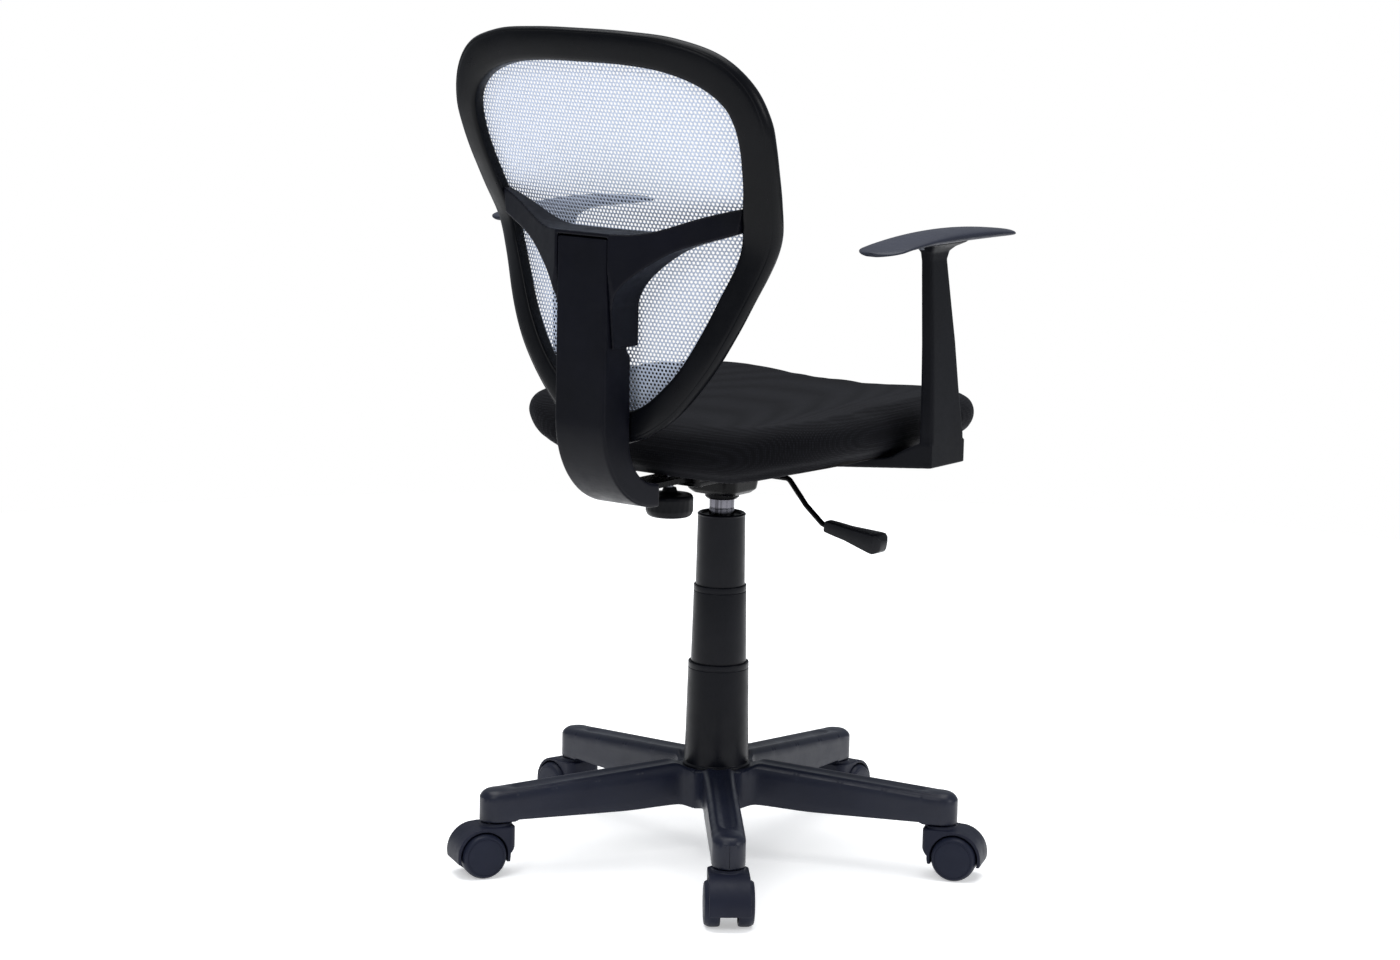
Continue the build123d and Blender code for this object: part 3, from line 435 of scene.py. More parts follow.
def half_width(a):
    """Half-width of the star's plan at a distance a along a leg, up to the line between two legs."""
    if a <= neck_a:
        return a * math.tan(half_pitch)
    if a <= web_a:
        return web_b - math.sqrt(max(0, web_radius ** 2 - (a - web_a) ** 2))
    if a <= base_radius:
        return leg_half_width + (tip_radius - leg_half_width) * smoothstep(web_a, base_radius, a)
    return math.sqrt(max(0.04, tip_radius ** 2 - (a - base_radius) ** 2))


def leg_top(a, b):
    """Height of a leg's crown before its edges are rounded: two shoulders beside a shallow channel."""
    crown = crown_height - crown_fall * a
    crown = hub_top + (crown - hub_top) * smoothstep(38, 56, math.hypot(a, b))
    channel = channel_depth * (1 - smoothstep(2.0, channel_edge, abs(b)))
    ends = smoothstep(40, 60, a) * (1 - smoothstep(-12, 0, a - (244 - b * b / 9)))
    dome = dome_height * max(0, 1 - ((a - 259) / 15) ** 2 - (b / 13) ** 2)
    return crown - channel * ends + dome


def leg_underside(a, b, width):
    """Height of the underside: a rim, pockets with ribs between them, and a solid tip and hub."""
    rim = rim_height - 3 * smoothstep(45, 120, a) - 2 * smoothstep(236, 241, a)
    rim -= 4 * (1 - smoothstep(30, 50, a))
    in_rib = any(low <= a <= low + rib_width for low in rib_starts)
    if not pocket_start < a < pocket_end or abs(b) > width - leg_wall:
        return rim
    return rim + rib_recess if in_rib else leg_top(a, b) - leg_roof


def star_base():
    """The five legs and the hub as one skin, built from half sections at stations along a leg."""
    outline = [(a, half_width(a)) for a in np.arange(neck_a, base_radius, 1.0)]
    outline += [(base_radius + tip_radius * math.sin(t), tip_radius * math.cos(t))
                for t in np.linspace(0, math.pi / 2, 40)]
    outline = np.array(outline)
    stations = [20, 26, 31, neck_a, 37.5, 39, 41, 43, 45.9, 46.1, 49, 52, 56, 61, 68, 78, 88]
    for low in rib_starts:
        stations += [low - 0.1, low + 0.1, low + rib_width - 0.1, low + rib_width + 0.1]
    stations += list(range(92, 236, 5))
    stations += [234, 236, 238.9, 239.1, 241, 243, 245, 247, 250, 254, 258]
    stations += [base_radius + tip_radius * math.sin(t) for t in np.linspace(0.14, math.pi / 2, 16)]
    stations = sorted(set(stations))
    # Distances from the leg's edge over its rounding, then shares of what is left to its middle
    depths, shares = (0, 0.35, 1.1, 2.3, 3.9, 5.8, 8), (0.82, 0.64, 0.46, 0.3, 0.15, 0)
    rings = []
    for a in stations:
        width = half_width(a)
        near = [max(0, width - d) if width > 9 else width * (1 - d / 9) for d in depths]
        across = near + [near[-1] * share for share in shares]
        upper = []
        for b in across:
            gap = float(np.min(np.hypot(outline[:, 0] - a, outline[:, 1] - b)))
            drop = edge_radius - math.sqrt(max(0, edge_radius ** 2 - max(0, edge_radius - gap) ** 2))
            upper.append((a, b, float(leg_top(a, b) - drop)))
        rim = float(leg_underside(a, width, width))
        brink = upper[0][2]
        wall = [(a, width, brink + (rim + 1.5 - brink) * t) for t in (0.25, 0.5, 0.75, 1)]
        wall += [(a, max(0, width - 0.5), rim + 0.4)]
        inward = [max(0, width - d) for d in (1.6, leg_wall - 0.05, leg_wall + 0.05)]
        inward += [inward[-1] * share for share in (0.6, 0.25, 0)]
        lower = [(a, b, float(leg_underside(a, b, width))) for b in inward]
        rings.append((upper[::-1], wall, lower))
    top_count, wall_count, low_count = (len(part) for part in rings[0])
    size = top_count + wall_count + low_count
    points, faces = [], []
    for angle in leg_angles:
        turn = Matrix.Rotation(math.radians(angle), 4, "Z")
        for side in (1, -1):
            first = len(points)
            for ring in rings:
                for a, b, z in ring[0] + ring[1] + ring[2]:
                    points.append(turn @ Vector((a, side * b, z)))
            for i in range(len(stations) - 1):
                for j in range(size - 1):
                    on_wall = top_count - 1 <= j < top_count + wall_count
                    if on_wall and stations[i + 1] <= neck_a + 0.01:
                        # Two legs meet here and share no wall.
                        continue
                    k = first + i * size + j
                    quad = (k, k + 1, k + size + 1, k + size)
                    faces.append(quad if side > 0 else quad[::-1])
            # The wall of the hub's bore, from the first upper row to the first lower row
            share = (low_count - 1) / (top_count - 1)
            for j in range(top_count - 1):
                lower_a, lower_b = (first + size - 1 - round(k * share) for k in (j, j + 1))
                lowers = (lower_a, lower_b) if lower_a != lower_b else (lower_a,)
                faces.append((first + j, *lowers, first + j + 1))
    return piece("base_star", points, faces, base_skin, "base", "base_plastic", "star_base")


sharpen(star_base(), 50)

# ------------------------------------------------------------------ casters
trail = 19                 # from the stem's axis to the axle
wheel_radius = 25
wheel_profile = rounded([
    (4.1, 24.4), (4.1, 9.6), (7, 9.5, 0.4), (7, 19.5, 0.5), (21, 19.5, 0.8), (21, 9.8, 0.5), (24.2, 9.6, 1),
    (25, 12.5, 1.5), (25, 21.5, 3), (22.5, 26, 2), (20.4, 26.5, 0.2), (20.1, 26, 0.2), (19.8, 26.6, 0.2),
    (14, 27, 2), (0, 27),
])
for number, angle in enumerate(leg_angles, start=1):
    softened(f"caster_hood_{number}_moulded", f"caster_hood_{number}", 0.8, 5, 0.4,
             caster_skin, f"caster_{number}")
    outward = Vector((math.cos(math.radians(angle)), math.sin(math.radians(angle)), 0))
    for hand, sign in (("left", -1), ("right", 1)):
        # The wheel's own Z axis runs along the axle, away from the caster's middle.
        axle = Vector((outward.y, -outward.x, 0)) * sign
        centre = outward * (base_radius + trail) + Vector((0, 0, wheel_radius))
        across = Vector((0, 0, 1)).cross(axle)
        place = Matrix((
            (across.x, 0, axle.x, centre.x),
            (across.y, 0, axle.y, centre.y),
            (across.z, 1, axle.z, centre.z),
            (0, 0, 0, 1),
        ))
        wheel = f"wheel_{hand}_{number}"
        turned_piece(wheel, wheel_profile, tread_skin, wheel, "wheel_plastic", f"caster_{wheel}", 40,
                     place=place)


# ------------------------------------------------------------------ column
def sleeve(bottom, top, bottom_radius, top_radius, wall):
    """A tapered sleeve with a raised band at its mouth."""
    slope = (top_radius - bottom_radius) / (top - bottom)

    def at(height):
        return bottom_radius + slope * (height - bottom)

    groove, lip = 0.55, 0.4
    return rounded([
        (bottom_radius - wall, bottom), (at(bottom), bottom, 0.4), (at(top - 7.4) - 0.05, top - 7.4, 0.2),
        (at(top - 6.9) - groove, top - 6.9, 0.15), (at(top - 6.2) - groove, top - 6.2, 0.15),
        (at(top - 5.7), top - 5.7, 0.2), (top_radius, top, 1.0), (top_radius - wall - lip, top, 0.4),
        (top_radius - wall - lip, top - 3, 0.2), (bottom_radius - wall, bottom),
    ])


# A foot ring takes the place of the lower sleeve's first five points.
lower_profile = rounded([(33.8, 104.2), (37.8, 104.2, 0.6), (37.6, 107.2, 1.2), (35.9, 108.6, 0.8),
                         (35.9, 110, 0.3)])
lower_profile += sleeve(104, 223, 36, 33.75, 1.8)[5:]
turned_piece("cover_lower_sleeve", lower_profile, cover_skin, "base", "cover_plastic", "cover_lower")
middle_profile = sleeve(195, 310, 31.5, 29.25, 1.2)
turned_piece("cover_middle_sleeve", middle_profile, cover_skin, "cover_stage", "cover_plastic",
             "cover_middle")
upper_profile = rounded([
    (26.3, 281), (27.8, 281, 0.4), (26.35, 388.2, 0.3), (26.9, 388.9, 0.2), (26.9, 389.6, 0.3),
    (25.2, 391, 0.3), (23.6, 390.6, 0.5), (22.6, 388.4, 0.6), (14.05, 388), (14.05, 386.2), (24.7, 386.2),
    (26.3, 281),
])
turned_piece("cover_upper_sleeve", upper_profile, cover_skin, "seat", "cover_plastic", "cover_upper")
cylinder_profile = rounded([
    (5.06, 190), (14, 190, 0.8), (14, 396, 0.1), (13.7, 396.4, 0.1), (13.7, 397.2, 0.1), (14, 397.6, 0.1),
    (14, 412, 0.2), (13.9, 430, 1), (3.06, 430, 0.4), (3.06, 418),
])
turned_piece("gas_cylinder_tube", cylinder_profile, chrome, "seat", "chromed_steel", "gas_cylinder")

# ------------------------------------------------------------------ seat mechanism
# Knob: a dished lower face, a fluted grip between two marked heights, and a collar about its screw
knob_profile = rounded([(0, 401), (19.5, 401, 0.6), (21, 400, 0.8), (24.2, 402, 3), (25.9, 406.5, 2)])
knob_profile += [(26, 408, 1), (26, 419, 1)]
knob_profile += rounded([(26, 420.5), (24.6, 424, 1.6), (15, 424.6, 1.5), (8.5, 427, 1), (7, 431.6, 0.4),
                         (4.05, 431.6), (4.05, 424)])
turned_piece("clamp_knob_moulded", knob_profile, knob_skin, "clamp", "moulded_plastic", "clamp_knob",
             place=Matrix.Translation((0, 98, 0)), steps=180, flutes=24, flute_depth=0.25)

# Grip: a faceted handle that flares to a blunt, chamfered end
grip_start = Vector((-133, -10, 391.2))
grip_axis = Vector((-83, 0, -14)).normalized()
grip_side = Vector((0, 1, 0))
grip_up = grip_axis.cross(grip_side)
# Distance along the grip, half sizes across and up, corner radius
grip_sections = [(0, 4.6, 4.6, 2), (0.8, 5.6, 5.6, 2), (2, 6.4, 6.4, 2), (12, 7.2, 7.0, 2),
                 (30, 8.2, 7.6, 2.2), (50, 10.6, 9.4, 2.2), (64, 12.2, 10.6, 2.2), (69, 12.4, 10.8, 2.2),
                 (73, 10.4, 9.0, 2.4), (75.5, 7.4, 6.2, 2.4), (76, 6.6, 5.4, 2.4)]
rings = []
for along, half_side, half_up, corner in grip_sections:
    middle = grip_start + grip_axis * along
    outline = rounded_ring(half_side, half_up, corner, 3)
    rings.append([middle + grip_side * a + grip_up * b for a, b in outline])
sharpen(piece("lever_grip_moulded", *tube(rings), grip_skin, "lever", "moulded_plastic", "lever_grip"), 28)


def upright(middle, across, half_a, half_b):
    """Ring of a rounded rectangle that stands upright, with its width along a direction."""
    return [middle + across * a + Vector((0, 0, b)) for a, b in rounded_ring(half_a, half_b, 1.5, 2)]


# Mechanism: a deep glossy pressing about the column, with an arm to each seat bolt
sheet_top = 447
plate_level, rib_root_level, rib_end_level = (Vector((0, 0, sheet_top - drop)) for drop in (1.7, 6, 3.4))
bolts = [(x, y) for x in (-58, 58) for y in (-75, 35)]
shells = [
    stack([(sheet_top - 0.2, 0, 0, 36, 32), (sheet_top - 14, 0, 0, 34, 30), (418, 0, 0, 32, 28),
           (413.5, 0, 0, 27, 24)], 11),
    stack([(413.6, 0, 0, 17, 17), (408.5, 0, 0, 15.6, 15.6)], 16),
]
for x, y in bolts:
    arm, across = Vector((x, y, 0)), Vector((-y, x, 0)).normalized()
    ends = (arm * 0.2, arm + arm.normalized() * 12)
    shells.append(tube([upright(end + plate_level, across, 13, 1.6) for end in ends]))
    # A rib under the arm, shallower towards the bolt
    rib_root = upright(arm * 0.3 + rib_root_level, across, 2, 6)
    rib_end = upright(arm * 0.75 + rib_end_level, across, 2, 3)
    shells.append(tube([rib_root, rib_end]))
# The channel that the back bar slides in: roof, floor and two cheeks
shells.append(stack([(sheet_top - 0.3, 0, 60, 30, 28), (sheet_top - 2.1, 0, 60, 30, 28)], 6))
shells.append(stack([(437, 0, 60, 28.6, 26.6), (432.5, 0, 60, 28, 26)], 6))
for x in (-25.2, 25.2):
    shells.append(stack([(sheet_top - 0.6, x, 60, 4.4, 27), (433, x * 0.94, 60, 3.8, 25)], 3))
# Two ears that carry the lever's pin
for y in (-16, -4):
    shells.append(stack([(446, -40, y, 7, 1.5), (432, -40, y, 5, 1.5)], 1.4))
pressing = merged(shells, 0.9, 4, 0.4)
dressed("mechanism_pressing", pressing, powder_coat, "seat", "mechanism_pan")
spacer_profile = rounded([(0, 446.9), (13, 446.9, 1), (11.5, 453, 3), (13.5, 459.1, 1), (0, 459.1)])
points, faces = joined([turned(spacer_profile, Matrix.Translation((x, y, 0)), steps=40) for x, y in bolts])
sharpen(piece("seat_spacers", points, faces, inner_skin, "seat", "moulded_plastic", "mount_pad"))


# ------------------------------------------------------------------ arms
board_bottom = 459
board_flat, board_half, flank_run, flank_rise = 75, 200, 115, 12


def dish(x):
    """Rise of the seat board's flanks, which curve up from a flat middle."""
    radius = (flank_run ** 2 + flank_rise ** 2) / (2 * flank_rise)
    return radius - math.sqrt(radius ** 2 - (max(board_flat, min(abs(x), board_half)) - board_flat) ** 2)


post_x = 250
# Post sections: height, middle in Y, half-length in Y, half-thickness in X
post_sections = [(466.6, -53, 33.2, 8.5), (486, -52.8, 32.4, 8.5), (500, -52.6, 31.4, 8.5),
                 (550, -46.5, 26.5, 8.1), (600, -41, 23, 7.7), (690, -27.5, 16, 7), (699, -28.5, 18, 8),
                 (703.5, -30.5, 23, 11), (707.2, -33, 33, 15.5), (709, -33, 38, 17)]
# Outline in X and Z of the strap under the seat board: out along its lower face, back along its upper one
strap_line = [(108, 452), (258.5, 466.8), (258.5, 492), (241.5, 492), (224, 484), (206, 474)]
strap_line += [(x, board_bottom + dish(x)) for x in (190, 176, 160, 144, 128, 108)]
strap_ends = (-86, -20)

pad_x, pad_front, pad_rear = 246, -176, 90
pad_apex_y, pad_apex_z, pad_curve = -62, 720, 850
pad_half_width, pad_flare, pad_crown, pad_least_thickness, pad_edge = 25, 2, 1.4, 4.6, 2.4
pad_front_end, pad_rear_end = 25, 27
# Lower face of a pad: heights at places along it
pad_under_y, pad_under_z = (-176, -70, 10, 50, 90), (707.4, 708, 708, 706.2, 701.4)


def quarter_round(distance, radius, least):
    """Share of the full size at a distance from a rounded end."""
    return math.sqrt(max(least, 1 - (1 - min(1, distance / radius)) ** 2))


def signed_power(value, power):
    return math.copysign(abs(value) ** power, value)


def arm_pad(side, stations=71, corners=48):
    """An arched pad with round ends, full at the edges and slightly crowned on top."""
    rings = []
    for y in pad_front + (pad_rear - pad_front) * (0.5 - 0.5 * np.cos(np.linspace(0, math.pi, stations))):
        from_front, from_rear = y - pad_front, pad_rear - y
        crest = pad_apex_z - pad_curve + math.sqrt(pad_curve ** 2 - (y - pad_apex_y) ** 2)
        width = pad_half_width + pad_flare * smoothstep(pad_front, pad_rear - 40, y)
        width *= quarter_round(from_front, pad_front_end, 0.0004)
        width *= quarter_round(from_rear, pad_rear_end, 0.0004)
        thick = max(pad_least_thickness, crest - np.interp(y, pad_under_y, pad_under_z))
        thick *= quarter_round(min(from_front, from_rear), pad_edge, 0.01)
        ring = []
        for corner in range(corners):
            turn = 2 * math.pi * corner / corners
            across, lift = signed_power(math.cos(turn), 0.5), signed_power(math.sin(turn), 0.6)
            crown = pad_crown * across ** 2 if lift > 0 else 0
            ring.append((side * pad_x + across * width, y, crest - thick / 2 + lift * thick / 2 - crown))
        rings.append(ring)
    return tube(rings)


for side, hand in ((-1, "right"), (1, "left")):
    post = tube([[(side * post_x + a, y + b, z) for a, b in rounded_ring(half_thick, half_length, 2.6, 4)]
                 for z, y, half_length, half_thick in post_sections])
    strap = tube([[(side * x, y, z) for x, z in strap_line] for y in strap_ends])
    mesh = merged([post, strap], 1.1, 4, 0.35)
    dressed(f"arm_post_{hand}", mesh, arm_skin, "seat", f"armrest_{hand}")
    pad = piece(f"arm_pad_{hand}_moulded", *arm_pad(side), pad_skin, "seat", "pad_rubber", f"arm_pad_{hand}")

# ------------------------------------------------------------------ back
# The back's shape at evenly spaced heights: Y of its middle, and its radius in plan
station_low, station_step = 480, 40
back_middles = [210, 211.5, 213, 215, 216, 217, 219, 228, 241, 254, 266, 278, 290]
back_radii = [600, 600, 590, 520, 440, 385, 405, 530, 640, 700, 700, 700, 700]
# Half outlines of the frame from top to bottom: X and height
frame_outer = [(0, 931), (60, 930), (115, 925), (163, 909), (191, 880), (203, 845), (203, 820), (198, 780),
               (190, 740), (178, 700), (162, 660), (145, 620), (123, 580), (92, 540), (71, 520), (38, 500),
               (0, 491)]
frame_inner = [(0, 896), (55, 895), (103, 889), (142, 874), (164, 853), (170, 825), (165, 780), (155, 740),
               (147, 700), (130, 660), (112, 620), (88, 580), (70, 560), (40, 535), (0, 525)]


def catmull(values, position):
    """Smooth interpolation through evenly spaced values."""
    values = np.asarray(values, float)
    i = int(np.clip(math.floor(position), 0, len(values) - 2))
    t = position - i
    p = [values[np.clip(i + k, 0, len(values) - 1)] for k in (-1, 0, 1, 2)]
    return 0.5 * (2 * p[1] + (p[2] - p[0]) * t + (2 * p[0] - 5 * p[1] + 4 * p[2] - p[3]) * t ** 2
                  + (3 * p[1] - p[0] - 3 * p[2] + p[3]) * t ** 3)


def back_y(x, z, ahead):
    """Y of the back at x and z, a distance ahead of the frame's rear face."""
    position = (z - station_low) / station_step
    middle, radius = catmull(back_middles, position), catmull(back_radii, position)
    return middle - ahead - radius + math.sqrt(radius ** 2 - x ** 2)


def between(start, end, low, high, t):
    """The value at t on the line that is start at low and end at high."""
    return ((high - t) * start + (t - low) * end) / (high - low)


def smooth_loop(half, count):
    """Evenly spaced points of the centripetal Catmull-Rom curve through half an outline and its mirror."""
    whole = half + [(-x, z) for x, z in reversed(half[1:-1])]
    whole = np.array(whole, float)
    n = len(whole)
    dense = []
    for i in range(n):
        p = [whole[(i + k) % n] for k in (-1, 0, 1, 2)]
        knots = [0.0]
        for a, b in zip(p, p[1:]):
            knots.append(knots[-1] + math.sqrt(np.linalg.norm(b - a)))
        for t in np.linspace(knots[1], knots[2], 24, endpoint=False):
            a = [between(p[k], p[k + 1], knots[k], knots[k + 1], t) for k in range(3)]
            b = [between(a[k], a[k + 1], knots[k], knots[k + 2], t) for k in range(2)]
            dense.append(between(b[0], b[1], knots[1], knots[2], t))
    dense = np.array(dense)
    lengths = np.concatenate([[0], np.cumsum(np.linalg.norm(np.roll(dense, -1, 0) - dense, axis=1))])
    closed = np.vstack([dense, dense[:1]])
    targets = np.linspace(0, lengths[-1], count, endpoint=False)
    return np.stack([np.interp(targets, lengths, closed[:, k]) for k in (0, 1)], 1)


# Section of the frame from its inner to its outer edge: share of the width, distance behind the front face.
# The dip near 0.87 is the seam along the rear face.
frame_section = [
    (0.0, 5), (0.0, 13), (0.01, 15.6), (0.04, 17.6), (0.1, 18.7), (0.2, 19.1), (0.4, 19.4), (0.6, 19.3),
    (0.76, 18.7), (0.84, 18.0), (0.855, 17.3), (0.87, 17.2), (0.885, 17.3), (0.9, 17.1), (0.95, 15.2),
    (0.985, 12.4), (1.0, 9.5), (1.0, 7), (0.97, 3.6), (0.9, 1.2), (0.78, 0.2), (0.6, 0), (0.4, 0), (0.2, 0.2),
    (0.08, 1.0), (0.02, 2.6),
]
frame_depth = 19
outer_loop = smooth_loop(frame_outer, 260)
inner_dense = smooth_loop(frame_inner, 1600)
# The inner edge is paired with the outer one by direction from the back's middle, then evened out.
back_centre = np.array((0.0, 715.0))
inner_angles = np.arctan2(*(inner_dense - back_centre).T)
inner_loop = []
for point in outer_loop:
    angle = math.atan2(*(point - back_centre))
    gap = np.abs((inner_angles - angle + math.pi) % (2 * math.pi) - math.pi)
    inner_loop.append(inner_dense[int(np.argmin(gap))])
inner_loop = np.array(inner_loop)
for _ in range(6):
    inner_loop = 0.5 * inner_loop + 0.25 * (np.roll(inner_loop, 1, 0) + np.roll(inner_loop, -1, 0))
rings = []
for inner, outer in zip(inner_loop, outer_loop):
    ring = []
    for share, behind in frame_section:
        x, z = inner + (outer - inner) * share
        ring.append((x, back_y(x, z, frame_depth - behind), z))
    rings.append(ring)
points, faces = tube(rings + rings[:1], closed_ends=False)
piece("back_ring", points, faces, frame_skin, "back", "frame_plastic", "back_frame")

# The mesh cloth is knitted with real holes: each cell of a honeycomb has its own.
pitch = 4.6
hole_share = 0.64
row_step = pitch * math.sqrt(3) / 2
cell_radius = pitch / math.sqrt(3)
cloth_low, cloth_high, cloth_half_width = 515, 905, 186
cloth_ahead, cloth_thickness = 17.3, 0.55


def inside(polygon, x, z):
    """Whether a point is inside a closed polygon."""
    a, b = polygon, np.roll(polygon, -1, 0)
    crosses = (a[:, 1] > z) != (b[:, 1] > z)
    with np.errstate(divide="ignore", invalid="ignore"):
        cut = (b[:, 0] - a[:, 0]) * (z - a[:, 1]) / (b[:, 1] - a[:, 1]) + a[:, 0]
    return bool(np.sum(crosses & (x < cut)) % 2)


cloth_edge = inner_loop + (outer_loop - inner_loop) * 0.12
points, faces = [], []
for row in range(int((cloth_high - cloth_low) / row_step) + 1):
    z = cloth_low + row * row_step
    for column in range(-40, 41):
        x = (column + 0.5 * (row % 2)) * pitch
        if abs(x) > cloth_half_width or not inside(cloth_edge, x, z):
            continue
        start = len(points)
        for scale in (1.0, hole_share):
            for corner in range(6):
                turn = math.radians(60 * corner + 30)
                px = x + scale * cell_radius * math.cos(turn)
                pz = z + scale * cell_radius * math.sin(turn)
                points.append((px, back_y(px, pz, cloth_ahead), pz))
        for corner in range(6):
            after = (corner + 1) % 6
            faces.append((start + corner, start + after, start + 6 + after, start + 6 + corner))
cloth = piece("back_mesh_cloth", points, faces, back_yarn, "back", "back_mesh_fabric", "back_mesh")
thickness = cloth.modifiers.new("thickness", "SOLIDIFY")
thickness.thickness = cloth_thickness * MM
thickness.offset = 0
applied(cloth)

softened("back_yoke_moulded", "back_yoke", 1.1, 7, 0.35, spine_skin, "back")
softened("spine_cover", "back_bar_cover", 1.15, 6, 0.35, spine_skin, "spine")

# ------------------------------------------------------------------ seat cushion
seat_middle_x, seat_middle_y = 0, -55
seat_half_x, seat_half_y = 213.5, 201
seat_squareness = 4.6
seat_top = 508.5


def seat_edge(angle, inset):
    """Plan of the cushion at an inset from its widest line: a squarish superellipse."""
    c, s = math.cos(angle), math.sin(angle)
    reach = (abs(c) ** seat_squareness + abs(s) ** seat_squareness) ** (-1 / seat_squareness)
    return ((seat_half_x - inset) * reach * c, (seat_half_y - inset) * reach * s)


def seat_surface():
    """A closed form: dished top, full front roll, and sides that wrap the edge of the seat board."""
    steps = 140
    # Inset from the widest line, and height above the board's lower face
    wrap = [(44, -0.8), (34, -1.3), (27, -1.2), (23.8, 0.2), (21.6, 3.2), (19.4, 7.5)]
    # Inset, and share of the height from the wrap to the rim
    side = [(13, 0.02), (7.5, 0.09), (3.4, 0.2), (0.9, 0.34), (0, 0.49), (0.6, 0.64), (2.8, 0.78), (7, 0.9),
            (14.5, 0.975), (27, 1.0)]

    def hang(x, y):
        """The cover hangs lower than the board at the middle of the back."""
        return -11 * smoothstep(60, 190, y) * (1 - smoothstep(80, 180, abs(x)))

    def rim(x, y):
        """Height of the top: it leans back, is dished, and has side bolsters that fade towards the front."""
        forward = smoothstep(-0.2, 1.0, -y / seat_half_y)
        flank = abs(x) / seat_half_x
        bolster = 11 * smoothstep(0.5, 0.95, flank) * (1 - 0.9 * forward ** 2)
        return seat_top + 6 * smoothstep(0.15, 0.75, flank) + bolster - 0.03 * y

    def wrap_height(x, y, up):
        return board_bottom + dish(x) + up + hang(x, y)

    def ring(inset, height):
        result = []
        for step in range(steps):
            x, y = seat_edge(2 * math.pi * step / steps, inset)
            result.append((seat_middle_x + x, seat_middle_y + y, height(x, y)))
        return result

    # From the middle of the underside, inside the board, out to the edge and back over the top
    rings = [ring(inset, lambda x, y: board_bottom + 6 + dish(x)) for inset in (190, 150, 100, 60, 46)]
    rings += [ring(inset, lambda x, y, up=up: wrap_height(x, y, up)) for inset, up in wrap]
    rings += [ring(inset, lambda x, y, share=share: wrap_height(x, y, 7.5) * (1 - share) + rim(x, y) * share)
              for inset, share in side]
    rings += [ring(inset, lambda x, y: rim(x, y) - 0.6) for inset in (48, 75, 105, 140, 175, 195)]
    return tube(rings)


cushion = piece("seat_cushion_cloth", *seat_surface(), seat_cloth, "seat", "seat_fabric", "seat_cushion")


def puff(made, voxel, pressure, frames, cap):
    """Blows a closed form out as cloth under pressure, with no point moved further than the cap."""
    remesh = made.modifiers.new("remesh", "REMESH")
    remesh.mode = "VOXEL"
    remesh.voxel_size = voxel * MM
    applied(made)
    rest = np.array([v.co for v in made.data.vertices])
    inflation = made.modifiers.new("inflation", "CLOTH")
    settings = inflation.settings
    settings.use_pressure = True
    settings.uniform_pressure_force = pressure
    settings.quality = 5
    settings.mass = 0.3
    settings.tension_stiffness = 40
    settings.compression_stiffness = 40
    settings.bending_stiffness = 3
    settings.effector_weights.gravity = 0
    inflation.point_cache.frame_start = 1
    inflation.point_cache.frame_end = frames
    for step in range(1, frames + 1):
        scene.frame_set(step)
    applied(made)
    scene.frame_set(1)
    moved = np.array([v.co for v in made.data.vertices])
    shift = moved - rest
    length = np.linalg.norm(shift, axis=1, keepdims=True)
    shift *= np.minimum(1, cap * MM / np.maximum(length, 1e-9))
    # The underside lies on the board and the board holds its edge, so only what is higher swells.
    free = smoothstep(0.476, 0.488, rest[:, 2:3])
    made.data.vertices.foreach_set("co", (rest + shift * free).astype(np.float32).ravel())
    made.data.update()


puff(cushion, voxel=5, pressure=4, frames=20, cap=3.0)
relax = cushion.modifiers.new("relax", "SMOOTH")
relax.factor = 0.5
relax.iterations = 2
subdivide = cushion.modifiers.new("subdivide", "SUBSURF")
subdivide.levels = 1
subdivide.render_levels = 1
applied(cushion)
cushion.data.polygons.foreach_set("use_smooth", [True] * len(cushion.data.polygons))

# ------------------------------------------------------------------ CAD nodes that are shown as they are
kept = {
    powder_coat: ["taper_socket", "back_bar", "lever_rod", "stand_tube"],
    zinc: ["lever_pin", "t_nuts", "seat_bolts", "arm_pad_screws", "back_bar_screws", "clamp_screw",
           "retaining_clip", "thrust_bearing"]
          + [f"caster_{part}_{k}" for part in ("stem", "axle") for k in range(1, 6)],
    chrome: ["piston_rod", "release_pin"],
    inner_skin: ["guide_bush"],
    board_skin: ["seat_board"],
}
for material, names in kept.items():
    for name in names:
        node = nodes[name]
        node.data.materials.clear()
        node.data.materials.append(material)
for name in ("taper_socket", "back_bar"):
    bevel = nodes[name].modifiers.new("edge", "BEVEL")
    bevel.width = 0.6 * MM
    bevel.segments = 2
    bevel.limit_method = "ANGLE"
    bevel.angle_limit = math.radians(35)

# ------------------------------------------------------------------ floor, light and camera
floor_material = Shader("floor_white", Specular_IOR_Level=0.05, Emission_Strength=0.42)
floor_material.shader.inputs["Emission Color"].default_value = (1, 1, 1, 1)
floor_material.colour(floor_material.blend(floor_material.noise(2, 2), (0.9, 0.9, 0.9), (0.93, 0.93, 0.93)))
floor_material.rough(floor_material.spread(floor_material.noise(5), 0.8, 0.9))
floor_radius, floor_sides = 2300, 96
floor_turns = [2 * math.pi * k / floor_sides for k in range(floor_sides)]
floor_rim = [(floor_radius * math.cos(turn), floor_radius * math.sin(turn), 0) for turn in floor_turns]
floor = bpy.data.objects.new("floor", raw_mesh("floor", floor_rim, [tuple(range(floor_sides))]))
floor.data.materials.append(floor_material.material)
scene.collection.objects.link(floor)

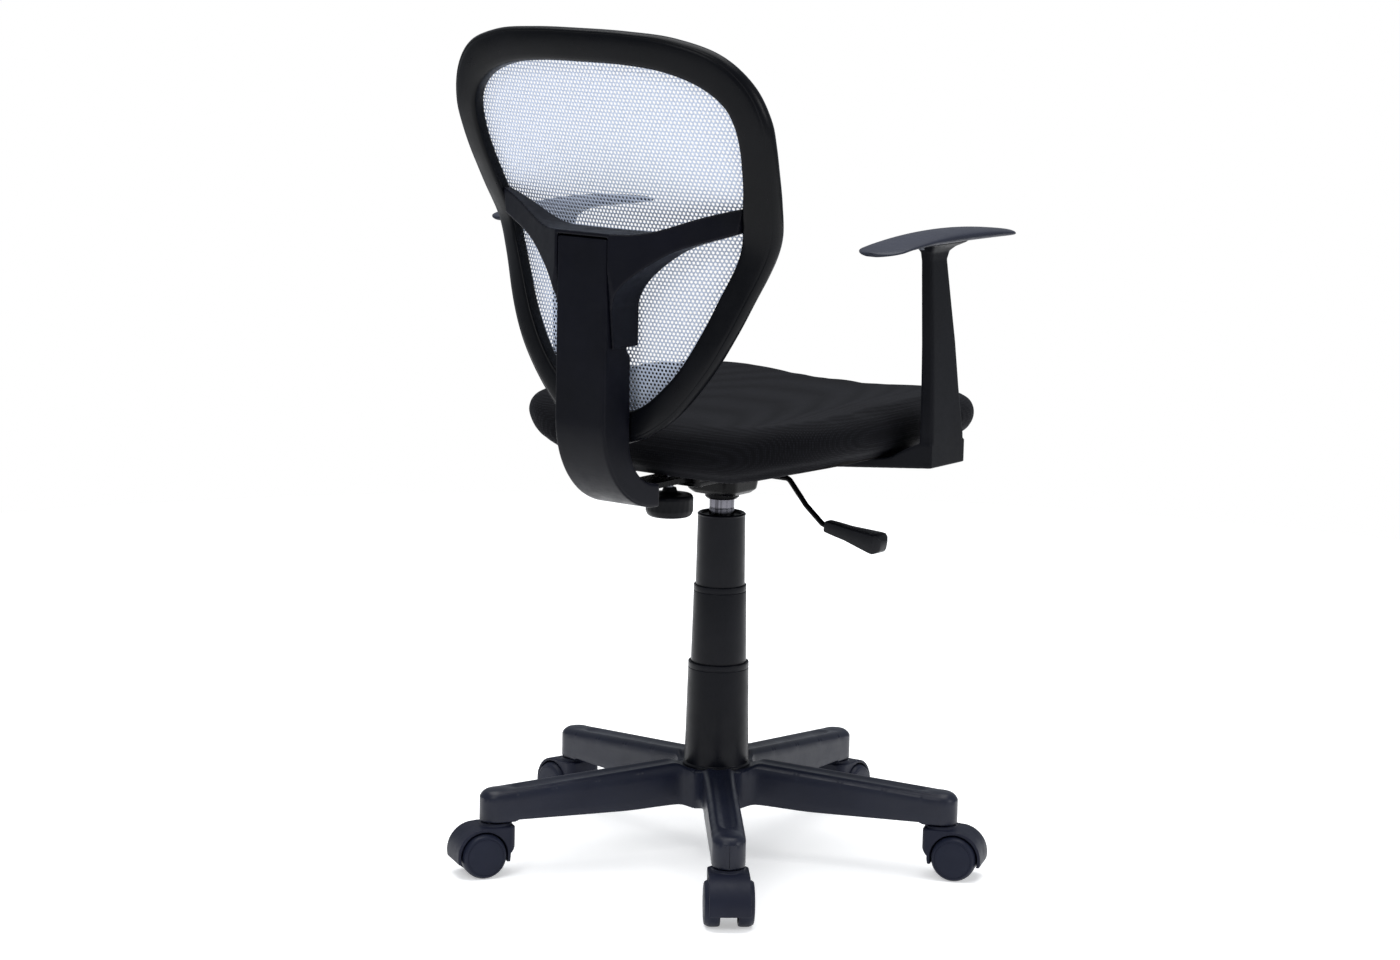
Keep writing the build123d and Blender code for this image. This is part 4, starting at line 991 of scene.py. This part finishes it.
# The backdrop is white, and a dimmer surround keeps black plastic black
world = bpy.data.worlds.new("studio")
world.use_nodes = True
tree = world.node_tree
backdrop = tree.nodes["Background"]
backdrop.inputs["Color"].default_value = (1, 1, 1, 1)
surround = tree.nodes.new("ShaderNodeBackground")
surround.inputs["Color"].default_value = (0.88, 0.93, 1, 1)
surround.inputs["Strength"].default_value = 0.42
paths = tree.nodes.new("ShaderNodeLightPath")
chosen = tree.nodes.new("ShaderNodeMixShader")
tree.links.new(paths.outputs["Is Camera Ray"], chosen.inputs[0])
tree.links.new(surround.outputs[0], chosen.inputs[1])
tree.links.new(backdrop.outputs[0], chosen.inputs[2])
tree.links.new(chosen.outputs[0], tree.nodes["World Output"].inputs["Surface"])
scene.world = world


def softbox(name, place, target, size, power):
    """A square area light aimed at a point."""
    light = bpy.data.lights.new(name, "AREA")
    light.size = size
    light.energy = power
    made = bpy.data.objects.new(name, light)
    scene.collection.objects.link(made)
    made.location = place
    made.rotation_euler = (Vector(target) - Vector(place)).to_track_quat("-Z", "Y").to_euler()


softbox("overhead", (0.1, -0.1, 3.4), (0, 0, 0), 3.2, 150)
softbox("key", (-0.6, 3.0, 2.6), (0, 0, 0.5), 1.0, 26)
softbox("side", (-3.2, -0.6, 1.5), (0, 0, 0.5), 1.0, 24)

# Camera: behind the sitter's right, a little above the seat, with a long lens and a slight roll
azimuth, elevation, roll = math.radians(215.5), math.radians(9.55), math.radians(1.27)
target, distance = Vector((0, 0, 0.45)), 4.0
back_away = Vector((math.sin(azimuth) * math.cos(elevation), -math.cos(azimuth) * math.cos(elevation),
                    math.sin(elevation)))
level_right = Vector((math.cos(azimuth), math.sin(azimuth), 0))
level_up = back_away.cross(level_right)
right = level_right * math.cos(roll) + level_up * math.sin(roll)
up = level_up * math.cos(roll) - level_right * math.sin(roll)
camera_data = bpy.data.cameras.new("camera")
camera_data.sensor_width = 36
camera_data.lens = 93.14
camera_data.shift_x = -0.01636
camera_data.shift_y = -0.01486
camera_data.clip_end = 400
camera = bpy.data.objects.new("camera", camera_data)
scene.collection.objects.link(camera)
axes = Matrix((right, up, back_away)).transposed().to_4x4()
camera.matrix_world = Matrix.Translation(target + back_away * distance) @ axes
scene.camera = camera
scene.view_settings.view_transform = "Standard"
